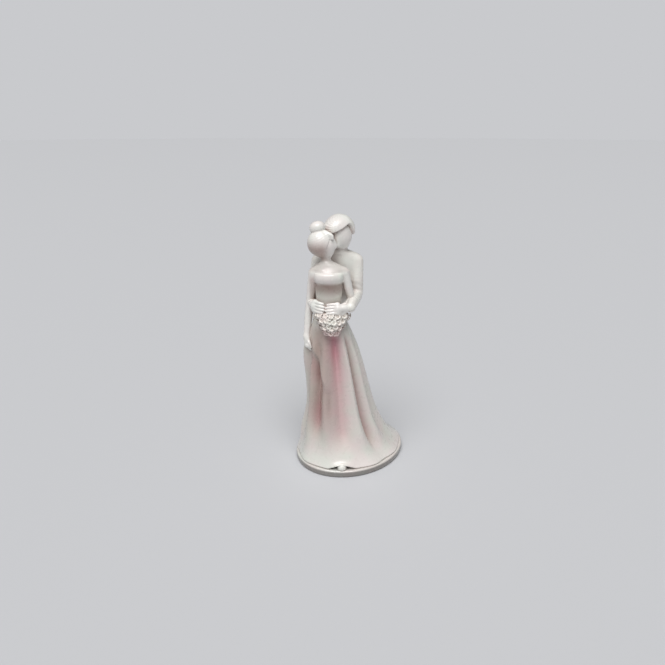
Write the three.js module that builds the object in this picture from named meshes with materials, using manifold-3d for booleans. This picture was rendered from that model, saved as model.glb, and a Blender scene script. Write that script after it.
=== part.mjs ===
// Wedding cake topper: a porcelain bride and groom in an embrace on an oval plinth, cast in pieces.
// Millimetres, +Z up, origin at the centre of the plinth's underside, the couple facing -Y.
// Right and left are the figure's own, so the bride's right hand is towards -X.
import * as THREE from "three";
import { mergeVertices } from "three/addons/utils/BufferGeometryUtils.js";
import Module from "manifold-3d";

const wasm = await Module();
wasm.setup();

// Joints between castings
const SLIP_GAP = 0.3; // room for the slip that joins two castings
const TENON_DIAMETER = 6; // peg under the bodice
const TENON_LENGTH = 5;
const PLUG_DEPTH = 4.5; // how far the bare shoulders reach into the bodice

// Plinth
const PLINTH_LENGTH = 80;
const PLINTH_WIDTH = 67.5;
const PLINTH_TURN = 42; // degrees, the long axis runs from front left to back right
const PLINTH_HEIGHT = 4.5;
const RIM_ROUND = 0.9;
const FOOT_RING_WIDTH = 7;
const FOOT_RECESS = 1;
const VENT_DIAMETER = 12;

// Where the two figures stand
const BRIDE_X = -14.5;
const BRIDE_Y = -6;
const GROOM_X = -9;
const COUPLE_SPACING = 16; // from her axis back to his
const HIP_SHIFT = 5; // his hips stand behind hers, his shoulders to her left
const CLASP_FORWARD = 2; // where the hands meet, in front of her waist
const CLASP_RISE = 8.5; // and above it

// Skirt
const SKIRT_HEIGHT = 97;
const SKIRT_WALL = 2.4;
const WAIST_WIDTH = 18;
const WAIST_DEPTH = 14;
const HIP_POWER = 0.7; // under 1 the skirt fills out just below the waist
const HEM_FLARE = 0.36; // share of the spread that comes in the last stretch above the hem
const FLARE_POWER = 6.5;
const HEM_MARGIN = 0.6; // plinth left bare outside the hem
const HEM_WAVE = 0.4;
const HEM_WAVES = 9;
const BACK_HEM_REACH = 11; // from the plinth's centre to the hem where it opens for his shoes
const BACK_OPENING = 31; // degrees either side of his shoes
const TOE_ARCH_WIDTH = 20;
const TOE_ARCH_HEIGHT = 3.2;
const TOE_OFFSET = 8.5; // her shoe shows to the left of her middle

// Folds that run down the skirt: degrees round from +X at the waist and at the hem, half width in degrees,
// depth as a share of the deepest, how much steeper its left wall is, and where it starts and has run out
const FOLD_DEPTH = 3.2;
const FOLDS = [
  { waist: -131, hem: -130, width: 8, depth: 0.84, lean: 0.2, start: 0.1, end: 0.86 },
  { waist: -85, hem: -92, width: 13, depth: 1, lean: 0, start: 0.02, end: 0.93 },
  { waist: -50, hem: -46, width: 7, depth: 1, lean: 0.35, start: 0.06, end: 0.96 },
  { waist: -14, hem: -12, width: 9, depth: 0.44, lean: 0, start: 0.04, end: 0.97 },
  { waist: 26, hem: 28, width: 8, depth: 0.69, lean: 0, start: 0.04, end: 0.97 },
  { waist: 56, hem: 54, width: 9, depth: 0.62, lean: 0, start: 0.04, end: 0.97 },
  { waist: -160, hem: -158, width: 9, depth: 0.56, lean: 0, start: 0.04, end: 0.97 },
];
const FOLD_RISE = 0.25; // share of the skirt's fall over which a fold deepens
const FOLD_FADE = 0.17; // and over which it dies out
const FOLD_FADED = 0.08; // share of the depth left below its end
const FOLD_SWELL = 0.4; // swell of the cloth beside a fold, as a share of its depth

// Cloth that her right hand holds
const GRIP_OUT = 4.2; // from her shoulder out to the wrist
const GRIP_FORWARD = 3;
const GRIP_DROP = 17; // wrist below the waist
const PALM_DROP = 3; // from the wrist down to where the cloth is drawn out
const HELD_AT = 188; // degrees round the skirt
const HELD_SPREAD = 20;
const GATHER = 4.5; // how far the hand draws the cloth out
const GATHER_FALL = 26; // how far down the drawn cloth reaches
const GATHER_RISE = 13; // and how far up
const SIDE_SWEEP = 2.6; // swell of the held cloth low on that side
const SWEEP_LEVEL = 0.17; // share of the skirt's height
const CREASE = { from: -140, to: -103, drop: 31, width: 8, steep: 5, rise: 1.8 }; // ridge from hand to front
const HOLLOW = { aside: 16, width: 11, depth: 1.5 }; // hollow beside that ridge, under the hand

// Bodice
const BODICE_HEIGHT = 28.5;
const BODICE_LIP = 0.9; // thickness of the bodice's top edge
const BUST_WIDTH = 18.5;
const BUST_DEPTH = 13.5;
const BUST_FULLNESS = 3.6;
const BUST_LEVEL = 0.86; // share of the bodice's height
const BUST_ANGLE = 26; // degrees either side of the front

// Bride
const SHOULDER_WIDTH = 21;
const NECK_DIAMETER = 6.4;
const NECK_LENGTH = 10; // from the bodice's edge to the jaw
const NECK_LEAN = 2.6; // her neck leans away from him
const HEAD_WIDTH = 12.5;
const HEAD_DEPTH = 13.6;
const HEAD_HEIGHT = 16.5;
const HEAD_TURN = { yaw: 82, pitch: -14, roll: 0 }; // she looks to her left, chin raised
const HAIR_THICKNESS = 1.6;
const HAIRLINE_SLANT = 28; // degrees by which her hairline runs back from the brow to the jaw
const BUN_DIAMETER = 10;
const ARM_DIAMETER = 6;
const WRIST_DIAMETER = 3.8;
const HAND_LENGTH = 12.5;
const SHOE_LENGTH = 14;
const SHOE_WIDTH = 6.4;
const SHOE_HEIGHT = 3.6;

// Groom
const COLLAR_RISE = 11; // his jacket's neck above her bodice's edge
const JACKET_LENGTH = 60;
const CHEST_WIDTH = 26;
const CHEST_DEPTH = 16.5;
const BACK_VENT_LENGTH = 10;
const BACK_VENT_WIDTH = 0.8;
const COLLAR_HEIGHT = 3.4;
const GROOM_NECK = 8.4;
const GROOM_HEAD_WIDTH = 15;
const GROOM_HEAD_DEPTH = 17;
const GROOM_HEAD_HEIGHT = 21;
const GROOM_HEAD_TURN = { yaw: -14, pitch: 16, roll: -8 }; // he bows his head to hers
const GROOM_HAIR_THICKNESS = 1.8;
const GROOM_HAIR_EDGE = 1.5; // thickness of the hair's edge over the face
const FRINGE = { width: 17, depth: 16, height: 13, roll: -28 }; // lock swept across the forehead
const HAIRLINE_TILT = -16; // degrees by which his hairline rises to the parting
const SLEEVE_DIAMETER = 9.4;
const CUFF_DIAMETER = 6.4;
const ELBOW_RISE = 11; // elbows above her waist
const GROOM_HAND_LENGTH = 15;
const LEG_DIAMETER = 11;
const TROUSER_HEM = 9.5;
const STANCE = 10.5; // between the middles of his legs
const GROOM_SHOE_LENGTH = 16;
const GROOM_SHOE_WIDTH = 6.6;
const GROOM_SHOE_HEIGHT = 5;

// Hands, in shares of the hand's length
const PALM = { length: 0.62, width: 0.44, thickness: 0.24 };
const FINGERS = [
  { across: -0.16, reach: 0.82 },
  { across: -0.055, reach: 0.96 },
  { across: 0.05, reach: 1 },
  { across: 0.155, reach: 0.92 },
];
const FINGER_RADIUS = 0.064;

// Posy
const POSY_WIDTH = 22;
const POSY_HEIGHT = 13.5;
const POSY_BULGE = 7.5;
const POSY_TAPER = 0.3; // how far the posy narrows towards its foot
const POSY_DROP = 1; // middle of the posy below the waist
const POSY_SIDE = 2; // and to the left of her middle
const BLOSSOM_DIAMETER = 3.3;
const BLOSSOM_HEIGHT = 1.3;
const BLOSSOM_SPACING = 0.15;
const PETALS = 5;
const PETAL_NOTCH = 0.4; // depth of the notch between petals, as a share of the radius

// Facets
const SKIRT_FACETS = 60;
const SKIRT_RINGS = 13;
const HEAD_COLUMNS = 24;
const HEAD_ROWS = 15;
const BODY_FACETS = 18;
const LIMB_FACETS = 11;
const FINGER_FACETS = 5;

const vec = (x, y, z) => new THREE.Vector3(x, y, z);
const radians = THREE.MathUtils.degToRad;
const lerp = THREE.MathUtils.lerp;
const smooth = THREE.MathUtils.smoothstep;
const bell = (offset, spread) => Math.exp(-((offset / spread) ** 2));
const turnBetween = (a, b) => Math.atan2(Math.sin(a - b), Math.cos(a - b));
// Point right of, behind and above another, in shares of a size
const beside = (point, size, right, back, up) => point.clone().addScaledVector(vec(right, back, up), size);
const around = (count, make) => Array.from({ length: count }, (_, i) => make((i / count) * 2 * Math.PI));

// Levels and points that follow from the sizes
const groomY = BRIDE_Y + COUPLE_SPACING;
const groomHipX = GROOM_X - HIP_SHIFT;
const zHem = PLINTH_HEIGHT + SLIP_GAP;
const zWaist = zHem + SKIRT_HEIGHT;
const zBodice = zWaist + SLIP_GAP;
const zNeckline = zBodice + BODICE_HEIGHT;
const zJaw = zNeckline + NECK_LENGTH;
const zCollar = zNeckline + COLLAR_RISE;
const zJacketHem = zCollar - JACKET_LENGTH;
const waistFront = BRIDE_Y - WAIST_DEPTH / 2;
const groomHeel = groomY + GROOM_SHOE_LENGTH / 2;
const heelAngle = Math.atan2(groomHeel, groomHipX);
const grip = vec(BRIDE_X - SHOULDER_WIDTH / 2 - GRIP_OUT, BRIDE_Y - GRIP_FORWARD, zWaist - GRIP_DROP);
const clasp = vec(BRIDE_X + POSY_SIDE, waistFront - CLASP_FORWARD, zWaist + CLASP_RISE);

// Building blocks

/** Closed surface through a stack of rings of equally many points, with a fan over each end. */
function loft(rings) {
  const count = rings[0].length;
  const points = rings.flat();
  const faces = [];
  for (let ring = 0; ring + 1 < rings.length; ring++) {
    for (let i = 0; i < count; i++) {
      const a = ring * count + i;
      const b = ring * count + ((i + 1) % count);
      faces.push(a, b, b + count, a, b + count, a + count);
    }
  }
  const last = (rings.length - 1) * count;
  const foot = points.push(middle(rings[0])) - 1;
  const head = points.push(middle(rings.at(-1))) - 1;
  for (let i = 0; i < count; i++) {
    const next = (i + 1) % count;
    faces.push(foot, next, i, head, last + i, last + next);
  }
  return new THREE.BufferGeometry().setFromPoints(points).setIndex(faces);
}

function middle(points) {
  return points.reduce((sum, p) => sum.add(p), vec(0, 0, 0)).divideScalar(points.length);
}

/** Upright body of oval rings through stations [z, x, y, half width, half depth], smoothed between them. */
function tower(stations, grow = 0, facets = BODY_FACETS, swell = () => 0, between = 2) {
  const levels = stations.map((station) => station[0]);
  const curve = new THREE.CubicInterpolant(levels, stations.flatMap((station) => station.slice(1)), 4);
  const steps = between * (stations.length - 1);
  const rings = Array.from({ length: steps + 1 }, (_, k) => {
    const below = Math.min(Math.floor(k / between), stations.length - 2);
    const z = lerp(levels[below], levels[below + 1], k / between - below);
    const [x, y, halfWidth, halfDepth] = curve.evaluate(z);
    const level = z + (k === 0 ? -grow : 0) + (k === steps ? grow : 0);
    return around(facets, (angle) => {
      const out = swell(angle, z) + grow;
      return vec(x + (halfWidth + out) * Math.cos(angle), y + (halfDepth + out) * Math.sin(angle), level);
    });
  });
  return loft(rings);
}

/** Round limb along a smooth line through the points, its radius following the list, with domed ends. */
function limb(points, radii, grow = 0, sides = LIMB_FACETS, steps = 7, tilts = [35, 66]) {
  const line = new THREE.CatmullRomCurve3(points, false, "centripetal");
  const frames = line.computeFrenetFrames(steps);
  const radiusAt = (k) => {
    const place = (k / steps) * (radii.length - 1);
    const i = Math.min(Math.floor(place), radii.length - 2);
    return lerp(radii[i], radii[i + 1], place - i) + grow;
  };
  const ring = (k, tilt, side) => {
    const centre = line.getPointAt(k / steps);
    centre.addScaledVector(frames.tangents[k], side * radiusAt(k) * Math.sin(radians(tilt)));
    const radius = radiusAt(k) * Math.cos(radians(tilt));
    return around(sides, (angle) =>
      centre
        .clone()
        .addScaledVector(frames.normals[k], radius * Math.cos(angle))
        .addScaledVector(frames.binormals[k], radius * Math.sin(angle)),
    );
  };
  const start = tilts.toReversed().map((tilt) => ring(0, tilt, -1));
  const length = Array.from({ length: steps + 1 }, (_, k) => ring(k, 0, 0));
  const end = tilts.map((tilt) => ring(steps, tilt, 1));
  return loft([...start, ...length, ...end]);
}

/** Egg with its face towards -Y: below the middle it narrows by the taper and comes forward as a chin. */
function egg(width, depth, height, taper = 0, columns = HEAD_COLUMNS, rows = HEAD_ROWS) {
  const chin = 0.25 * taper;
  const geometry = new THREE.SphereGeometry(0.5, columns, rows).rotateX(Math.PI / 2);
  const points = geometry.attributes.position;
  for (let i = 0; i < points.count; i++) {
    const below = Math.max(0, -2 * points.getZ(i)) ** 2;
    const narrow = 1 - taper * below;
    points.setX(i, points.getX(i) * width * narrow);
    points.setY(i, points.getY(i) * depth * narrow - chin * below * depth);
    points.setZ(i, points.getZ(i) * height);
  }
  return geometry;
}

/** Turns a piece about the origin by yaw (Z), pitch (X) and roll (Y) degrees and puts it in place. */
function placed(geometry, at, { yaw = 0, pitch = 0, roll = 0 }) {
  const turn = new THREE.Euler(radians(pitch), radians(roll), radians(yaw), "ZXY");
  return geometry.applyQuaternion(new THREE.Quaternion().setFromEuler(turn)).translate(at.x, at.y, at.z);
}

function solidOf(geometry) {
  const bare = new THREE.BufferGeometry().setAttribute("position", geometry.getAttribute("position"));
  const merged = mergeVertices(bare.setIndex(geometry.index), 1e-4);
  return new wasm.Manifold(
    new wasm.Mesh({
      numProp: 3,
      vertProperties: merged.attributes.position.array,
      triVerts: new Uint32Array(merged.index.array),
    }),
  );
}

const join = (geometries) => geometries.map(solidOf).reduce((whole, part) => whole.add(part));

/** Cuts the neighbours out of a casting and keeps its main body, as a fettler trims off the crumbs. */
function trim(solid, neighbours) {
  const cut = neighbours.reduce((rest, neighbour) => rest.subtract(neighbour), solid);
  return cut.decompose().reduce((largest, body) => (body.volume() > largest.volume() ? body : largest));
}

function geometryOf(solid) {
  const mesh = solid.getMesh();
  const geometry = new THREE.BufferGeometry();
  geometry.setAttribute("position", new THREE.BufferAttribute(mesh.vertProperties, mesh.numProp));
  geometry.setIndex(new THREE.BufferAttribute(mesh.triVerts, 1));
  geometry.computeVertexNormals();
  return geometry;
}

// Finishes
const finish = (color, roughness, metalness) =>
  new THREE.MeshStandardMaterial({ color, roughness, metalness });
const pearlGlaze = () => finish(0xe9e5de, 0.3, 0);
const pearlLustre = () => finish(0xcfc9c0, 0.2, 0.3);

function piece(name, solid, material = pearlGlaze()) {
  const mesh = new THREE.Mesh(geometryOf(solid), material);
  mesh.name = name;
  return mesh;
}

// Plinth

function plinthOutline(inset) {
  const length = PLINTH_LENGTH / 2 - inset;
  const width = PLINTH_WIDTH / 2 - inset;
  return new THREE.Shape().absellipse(0, 0, length, width, 0, 2 * Math.PI, false, radians(PLINTH_TURN));
}

/** Distance from the plinth's centre to its edge in one direction. */
function plinthReach(angle) {
  const turned = angle - radians(PLINTH_TURN);
  return 1 / Math.hypot(Math.cos(turned) / (PLINTH_LENGTH / 2), Math.sin(turned) / (PLINTH_WIDTH / 2));
}

/** Oval slab with a rounded rim, a recess inside its foot ring and the kiln vent through the middle. */
function plinthSolid() {
  const slab = new THREE.ExtrudeGeometry(plinthOutline(0), {
    depth: PLINTH_HEIGHT - 2 * RIM_ROUND,
    curveSegments: 18,
    bevelThickness: RIM_ROUND,
    bevelSize: RIM_ROUND,
    bevelOffset: -RIM_ROUND,
    bevelSegments: 2,
  }).translate(0, 0, RIM_ROUND);
  const recess = new THREE.ExtrudeGeometry(plinthOutline(FOOT_RING_WIDTH), {
    depth: 2 * FOOT_RECESS,
    curveSegments: 16,
    bevelEnabled: false,
  }).translate(0, 0, -FOOT_RECESS);
  const radius = VENT_DIAMETER / 2;
  const vent = new THREE.CylinderGeometry(radius, radius, 4 * PLINTH_HEIGHT, 24).rotateX(Math.PI / 2);
  return trim(solidOf(slab), [solidOf(recess), solidOf(vent)]);
}

// Shoes

/** Shoe along -Y on a flat sole, its heel at the origin, with a round toe and a rising instep. */
function shoe(length, width, height, grow = 0) {
  const rings = Array.from({ length: 8 }, (_, k) => {
    const along = k / 7;
    const ends = Math.sqrt(Math.max(0.06, 1 - (2 * along - 1) ** 4));
    const half = (width / 2) * ends * lerp(0.8, 1, smooth(along, 0.2, 0.6)) + grow;
    const top = height * ends * lerp(1, 0.55, smooth(along, 0.35, 0.9)) + grow;
    const y = -length * along + grow * (1 - 2 * along);
    return around(10, (angle) =>
      vec(half * Math.cos(angle), y, Math.max(-grow, top * (0.5 + 0.75 * Math.sin(angle)))),
    );
  });
  return loft(rings);
}

const toeTip = vec(BRIDE_X + TOE_OFFSET, -plinthReach(-Math.PI / 2), zHem);

function brideShoeBody(grow = 0) {
  const body = shoe(SHOE_LENGTH, SHOE_WIDTH, SHOE_HEIGHT, grow);
  return solidOf(body.translate(toeTip.x, toeTip.y + SHOE_LENGTH - SLIP_GAP, toeTip.z));
}

function groomShoeBody(x, grow = 0) {
  const body = shoe(GROOM_SHOE_LENGTH, GROOM_SHOE_WIDTH, GROOM_SHOE_HEIGHT, grow);
  return solidOf(body.translate(x, groomHeel, zHem));
}

// Skirt

/** Depth of the folds at one place: a valley, with the cloth swelling beside it. */
function foldDepth(angle, fall) {
  return FOLDS.reduce((sum, { waist, hem, width, depth, lean, start, end }) => {
    const off = turnBetween(angle, radians(lerp(waist, hem, fall))) / radians(width);
    const wall = off < 0 ? 1 - lean : 1 + lean;
    const swell = FOLD_SWELL * bell(Math.abs(off) / Math.max(wall, 1) - 1.9, 0.8);
    const faded = (1 - FOLD_FADED) * smooth(fall, end - FOLD_FADE, end);
    const strength = FOLD_DEPTH * depth * smooth(fall, start, start + FOLD_RISE) * (1 - faded);
    return sum + strength * (swell - bell(off / wall, 0.9));
  }, 0);
}

/** Cloth drawn out to her hand and low on that side, a ridge from there to the front, a hollow beside it. */
function heldCloth(angle, z) {
  const below = grip.z - PALM_DROP - z;
  const off = turnBetween(angle, radians(HELD_AT));
  const reach = below > 0 ? GATHER_FALL : GATHER_RISE;
  const pull = GATHER * bell(off, radians(HELD_SPREAD)) * bell(below, reach);
  const height = (z - zHem) / SKIRT_HEIGHT;
  const sweep = SIDE_SWEEP * bell(off, radians(1.5 * HELD_SPREAD)) * bell(height - SWEEP_LEVEL, 0.13);
  const run = THREE.MathUtils.clamp(below / CREASE.drop + 0.08, 0, 1);
  const aside = turnBetween(angle, radians(lerp(CREASE.from, CREASE.to, run)));
  const flank = radians(aside < 0 ? CREASE.steep : CREASE.width);
  const ridge = bell(aside, flank) * (1 - run ** 2) * smooth(below / GATHER_FALL, -0.3, 0.08);
  const dip = smooth(below / GATHER_FALL, -0.15, 0.3) * bell(below / GATHER_FALL - 0.3, 0.92);
  const hollow = dip * bell(aside + radians(HOLLOW.aside), radians(HOLLOW.width));
  return pull + sweep + CREASE.rise * ridge - HOLLOW.depth * hollow;
}

/** The hem follows the plinth's edge, and draws in at the back where his shoes stand. */
function hemReach(angle) {
  const edge = plinthReach(angle) - HEM_MARGIN - HEM_WAVE * (1 + Math.cos(HEM_WAVES * angle));
  const opening = bell(turnBetween(angle, heelAngle), radians(BACK_OPENING)) ** 0.7;
  return lerp(edge, BACK_HEM_REACH, opening);
}

/** Point on the skirt at an angle round it and a share of its fall (0 at the waist, 1 at the hem). */
function skirtPoint(angle, fall, grow) {
  const spread = (1 - HEM_FLARE) * fall ** HIP_POWER + HEM_FLARE * fall ** FLARE_POWER;
  const outward = vec(Math.cos(angle), Math.sin(angle), 0);
  const waist = vec(WAIST_WIDTH / 2, WAIST_DEPTH / 2, 0).multiply(outward).add(vec(BRIDE_X, BRIDE_Y, 0));
  const hem = outward.clone().multiplyScalar(hemReach(angle));
  const z = zWaist - SKIRT_HEIGHT * fall;
  const out = foldDepth(angle, fall) + heldCloth(angle, z) + grow;
  return waist.lerp(hem, spread).addScaledVector(outward, out).setZ(z);
}

/** Skirt between two shares of its fall, grown or shrunk sideways, with its rings closest at the hem. */
function skirtBody(grow, facets, steps, from = 0, to = 1) {
  const rings = Array.from({ length: steps + 1 }, (_, k) => {
    const fall = lerp(from, to, 1 - (k / steps) ** 1.4);
    return around(facets, (angle) => skirtPoint(angle, fall, grow));
  });
  if (grow <= 0) return solidOf(loft(rings));
  const lifted = (ring, by) => ring.map((p) => p.clone().setZ(p.z + by));
  return solidOf(loft([lifted(rings[0], -grow), ...rings, lifted(rings.at(-1), grow)]));
}

/** Hollow casting, open underneath: a peg hole for the bodice at the waist, an arch over the toe. */
function skirtShell() {
  const deck = (1.2 * SKIRT_WALL) / SKIRT_HEIGHT;
  const arch = egg(TOE_ARCH_WIDTH, 2 * SHOE_LENGTH, 2 * TOE_ARCH_HEIGHT, 0, 12, 8);
  const cavity = trim(skirtBody(-SKIRT_WALL, 22, 6, deck, 1.02), legsBodies(SLIP_GAP + SKIRT_WALL));
  const outside = skirtBody(0, SKIRT_FACETS, SKIRT_RINGS);
  const openings = [cavity, peg(SLIP_GAP), solidOf(placed(arch, toeTip, {})), brideShoeBody(SLIP_GAP)];
  return trim(outside, [...legsBodies(SLIP_GAP), ...openings]);
}

// Bodice and bare shoulders

function bodiceBody(grow = 0) {
  const level = (share) => zBodice + BODICE_HEIGHT * share;
  const station = (share, width, depth) => [level(share), BRIDE_X, BRIDE_Y, width / 2, depth / 2];
  const stations = [
    station(0, 0.96 * WAIST_WIDTH, 0.95 * WAIST_DEPTH),
    station(0.25, 0.9 * WAIST_WIDTH, 0.84 * WAIST_DEPTH),
    station(0.6, 0.93 * BUST_WIDTH, 0.84 * BUST_DEPTH),
    station(0.85, BUST_WIDTH, 0.95 * BUST_DEPTH),
    station(1, 0.98 * BUST_WIDTH, 0.96 * BUST_DEPTH),
  ];
  const bust = (angle, z) => {
    const side = Math.abs(turnBetween(angle, -Math.PI / 2)) - radians(BUST_ANGLE);
    return BUST_FULLNESS * bell(side, 0.46) * bell((z - level(BUST_LEVEL)) / BODICE_HEIGHT, 0.14);
  };
  return solidOf(tower(stations, grow, BODY_FACETS, bust));
}

function peg(grow = 0) {
  const radius = TENON_DIAMETER / 2 + grow;
  const length = TENON_LENGTH + SKIRT_WALL;
  const body = new THREE.CylinderGeometry(radius, radius, length, 18).rotateX(Math.PI / 2);
  return solidOf(body.translate(BRIDE_X, BRIDE_Y, zWaist - TENON_LENGTH + length / 2));
}

const neckTop = vec(BRIDE_X - NECK_LEAN, BRIDE_Y + NECK_LEAN / 2, zJaw);

/** Plug in the bodice, collarbone, shoulders and leaning neck in one casting. */
function shouldersBody(grow = 0) {
  const lip = BODICE_LIP + SLIP_GAP;
  const neck = NECK_DIAMETER / 2;
  const plug = [BUST_WIDTH / 2 - lip, BUST_DEPTH / 2 - lip];
  const station = (rise, lean, halfWidth, halfDepth) => {
    const axis = vec(BRIDE_X, BRIDE_Y, 0).lerp(neckTop, lean);
    return [zNeckline + rise, axis.x, axis.y, halfWidth, halfDepth];
  };
  const stations = [
    station(-PLUG_DEPTH, 0, ...plug),
    station(0, 0, ...plug),
    station(0.24 * NECK_LENGTH, 0.15, SHOULDER_WIDTH / 2, 0.38 * BUST_DEPTH),
    station(0.44 * NECK_LENGTH, 0.3, 0.38 * SHOULDER_WIDTH, 0.32 * BUST_DEPTH),
    station(0.62 * NECK_LENGTH, 0.55, 1.44 * neck, 1.28 * neck),
    station(0.82 * NECK_LENGTH, 0.8, neck, neck),
    station(1.25 * NECK_LENGTH, 1.1, neck, neck),
  ];
  return solidOf(tower(stations, grow, 18));
}

// Bride's head

const brideHeadAt = vec(neckTop.x, neckTop.y, zJaw + 0.41 * HEAD_HEIGHT);

/** Piece of her head, offset from the middle of the skull in the head's own axes. */
function onBrideHead(geometry, right, back, up) {
  return solidOf(placed(geometry.translate(right, back, up), brideHeadAt, HEAD_TURN));
}

function brideSkull(grow = 0) {
  const size = 2 * grow;
  return onBrideHead(egg(HEAD_WIDTH + size, HEAD_DEPTH + size, HEAD_HEIGHT + size, 0.26), 0, 0, 0);
}

/** Smooth hair, set back on the skull and cut off along the hairline, so that the face stands clear of it. */
function brideHairBody(grow = 0) {
  const size = 2 * (HAIR_THICKNESS + grow);
  const mass = egg(HEAD_WIDTH + size, HEAD_DEPTH + size, 0.88 * HEAD_HEIGHT + size, 0.1);
  const room = 2 * HEAD_HEIGHT;
  const face = new THREE.BoxGeometry(room, room, room)
    .translate(0, -room / 2 - grow, 0)
    .rotateX(radians(HAIRLINE_SLANT));
  const bare = onBrideHead(face, 0, -0.39 * HEAD_DEPTH, 0.25 * HEAD_HEIGHT);
  return onBrideHead(mass, 0, 1.3 * HAIR_THICKNESS, 0.9 * HAIR_THICKNESS).subtract(bare);
}

function brideBunBody(grow = 0) {
  const size = BUN_DIAMETER + 2 * grow;
  const coil = egg(size, size, 0.82 * size);
  return onBrideHead(coil, 0.08 * HEAD_WIDTH, 0.14 * HEAD_DEPTH, 0.68 * HEAD_HEIGHT);
}

// Hands

/** Hand along +X from the wrist, its back towards +Z, thumb on +Y or -Y, fingers bent down by the curl. */
function handParts(length, curl, thumbSide, grow) {
  const size = (share) => share * length + 2 * grow;
  const palm = egg(size(PALM.length), size(PALM.width), size(PALM.thickness), 0, 10, 6);
  const radius = FINGER_RADIUS * length;
  const digit = (points, thickness) => {
    const scaled = points.map((p) => p.multiplyScalar(length).multiply(vec(1, thumbSide, 1)));
    return limb(scaled, [thickness, thickness, 0.8 * thickness], grow, FINGER_FACETS, 2, [50]);
  };
  const bent = (share) => vec(Math.cos(radians(curl * share)), 0, -Math.sin(radians(curl * share)));
  const fingers = FINGERS.map(({ across, reach }) => {
    const knuckle = vec(0.45, across, 0);
    const joint = knuckle.clone().addScaledVector(bent(0.5), 0.28 * reach);
    const tip = joint.clone().addScaledVector(bent(1), 0.2 * reach);
    return digit([knuckle, joint, tip], radius);
  });
  const thumb = digit([vec(0.12, 0.14, -0.02), vec(0.32, 0.28, -0.06), vec(0.5, 0.3, -0.1)], 1.15 * radius);
  return [palm.translate(0.27 * length, 0, 0), ...fingers, thumb];
}

/** Sets a hand at the wrist, fingers along one direction, back of the hand facing another. */
function handBody({ length, curl, thumbSide, wrist, along, back }, grow = 0) {
  const x = along.clone().normalize();
  const y = new THREE.Vector3().crossVectors(back, x).normalize();
  const z = new THREE.Vector3().crossVectors(x, y);
  const frame = new THREE.Matrix4().makeBasis(x, y, z).setPosition(wrist);
  return join(handParts(length, curl, thumbSide, grow).map((part) => part.applyMatrix4(frame)));
}

// Bride's arms

const shoulderLevel = zNeckline + 0.1 * ARM_DIAMETER;
const brideShoulder = (side) => vec(BRIDE_X + side * 0.48 * SHOULDER_WIDTH, BRIDE_Y, shoulderLevel);

function armBody(points, grow) {
  const arm = ARM_DIAMETER / 2;
  return solidOf(limb(points, [arm, arm, 0.88 * arm, WRIST_DIAMETER / 2], grow));
}

/** Right arm, hanging almost straight to the hand that holds the skirt. */
function brideRightArmBody(grow = 0) {
  const shoulder = brideShoulder(-1);
  const wrist = beside(grip, HAND_LENGTH, 0.024, 0.064, 0.36);
  const elbow = beside(shoulder.clone().lerp(wrist, 0.5), ARM_DIAMETER, -0.03, 0.4, 0);
  return armBody([shoulder, elbow, wrist], grow);
}

/** Left arm, bent at the elbow to bring the hand in front of her waist. */
function brideLeftArmBody(grow = 0) {
  const shoulder = brideShoulder(1);
  const elbow = beside(shoulder.clone().setZ(zWaist + ELBOW_RISE), ARM_DIAMETER, 0.67, 0.25, 0);
  const wrist = beside(clasp, HAND_LENGTH, 0.69, 0.256, 0);
  return armBody([shoulder, shoulder.clone().lerp(elbow, 0.5), elbow, wrist], grow);
}

const brideRightHand = {
  length: HAND_LENGTH,
  curl: 70,
  thumbSide: 1,
  wrist: beside(grip, HAND_LENGTH, 0.016, 0.032, 0.272),
  along: vec(0.1, -0.1, -1),
  back: vec(-1, -0.35, 0),
};
const brideLeftHand = {
  length: HAND_LENGTH,
  curl: 30,
  thumbSide: 1,
  wrist: beside(clasp, HAND_LENGTH, 0.608, 0.16, 0),
  along: vec(-1, -0.2, -0.1),
  back: vec(-0.3, -1, 0.2),
};

// Groom's legs and jacket

const groomLegs = [-1, 1].map((side) => groomHipX + (side * STANCE) / 2);

/** Both trouser legs, joined at the hips under the jacket. */
function trousersBody(grow = 0) {
  const hem = zHem + 0.52 * GROOM_SHOE_HEIGHT;
  const hip = zJacketHem + 0.36 * LEG_DIAMETER;
  const station = (share, inward, y, diameter, x) => [
    lerp(hem, hip, share),
    lerp(x, groomHipX, inward),
    y,
    diameter / 2,
    diameter / 2,
  ];
  const legs = groomLegs.map((x) => [
    station(0, 0, groomHeel - 0.3 * GROOM_SHOE_LENGTH, TROUSER_HEM, x),
    station(0.4, 0, groomY + 0.2 * LEG_DIAMETER, 0.87 * LEG_DIAMETER, x),
    station(0.8, 0.1, groomY + 0.18 * LEG_DIAMETER, LEG_DIAMETER, x),
    station(1, 0.3, groomY + 0.13 * LEG_DIAMETER, LEG_DIAMETER, x),
  ]);
  return join(legs.map((stations) => tower(stations, grow, 10)));
}

const legsBodies = (grow) => [trousersBody(grow), ...groomLegs.map((x) => groomShoeBody(x, grow))];

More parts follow.
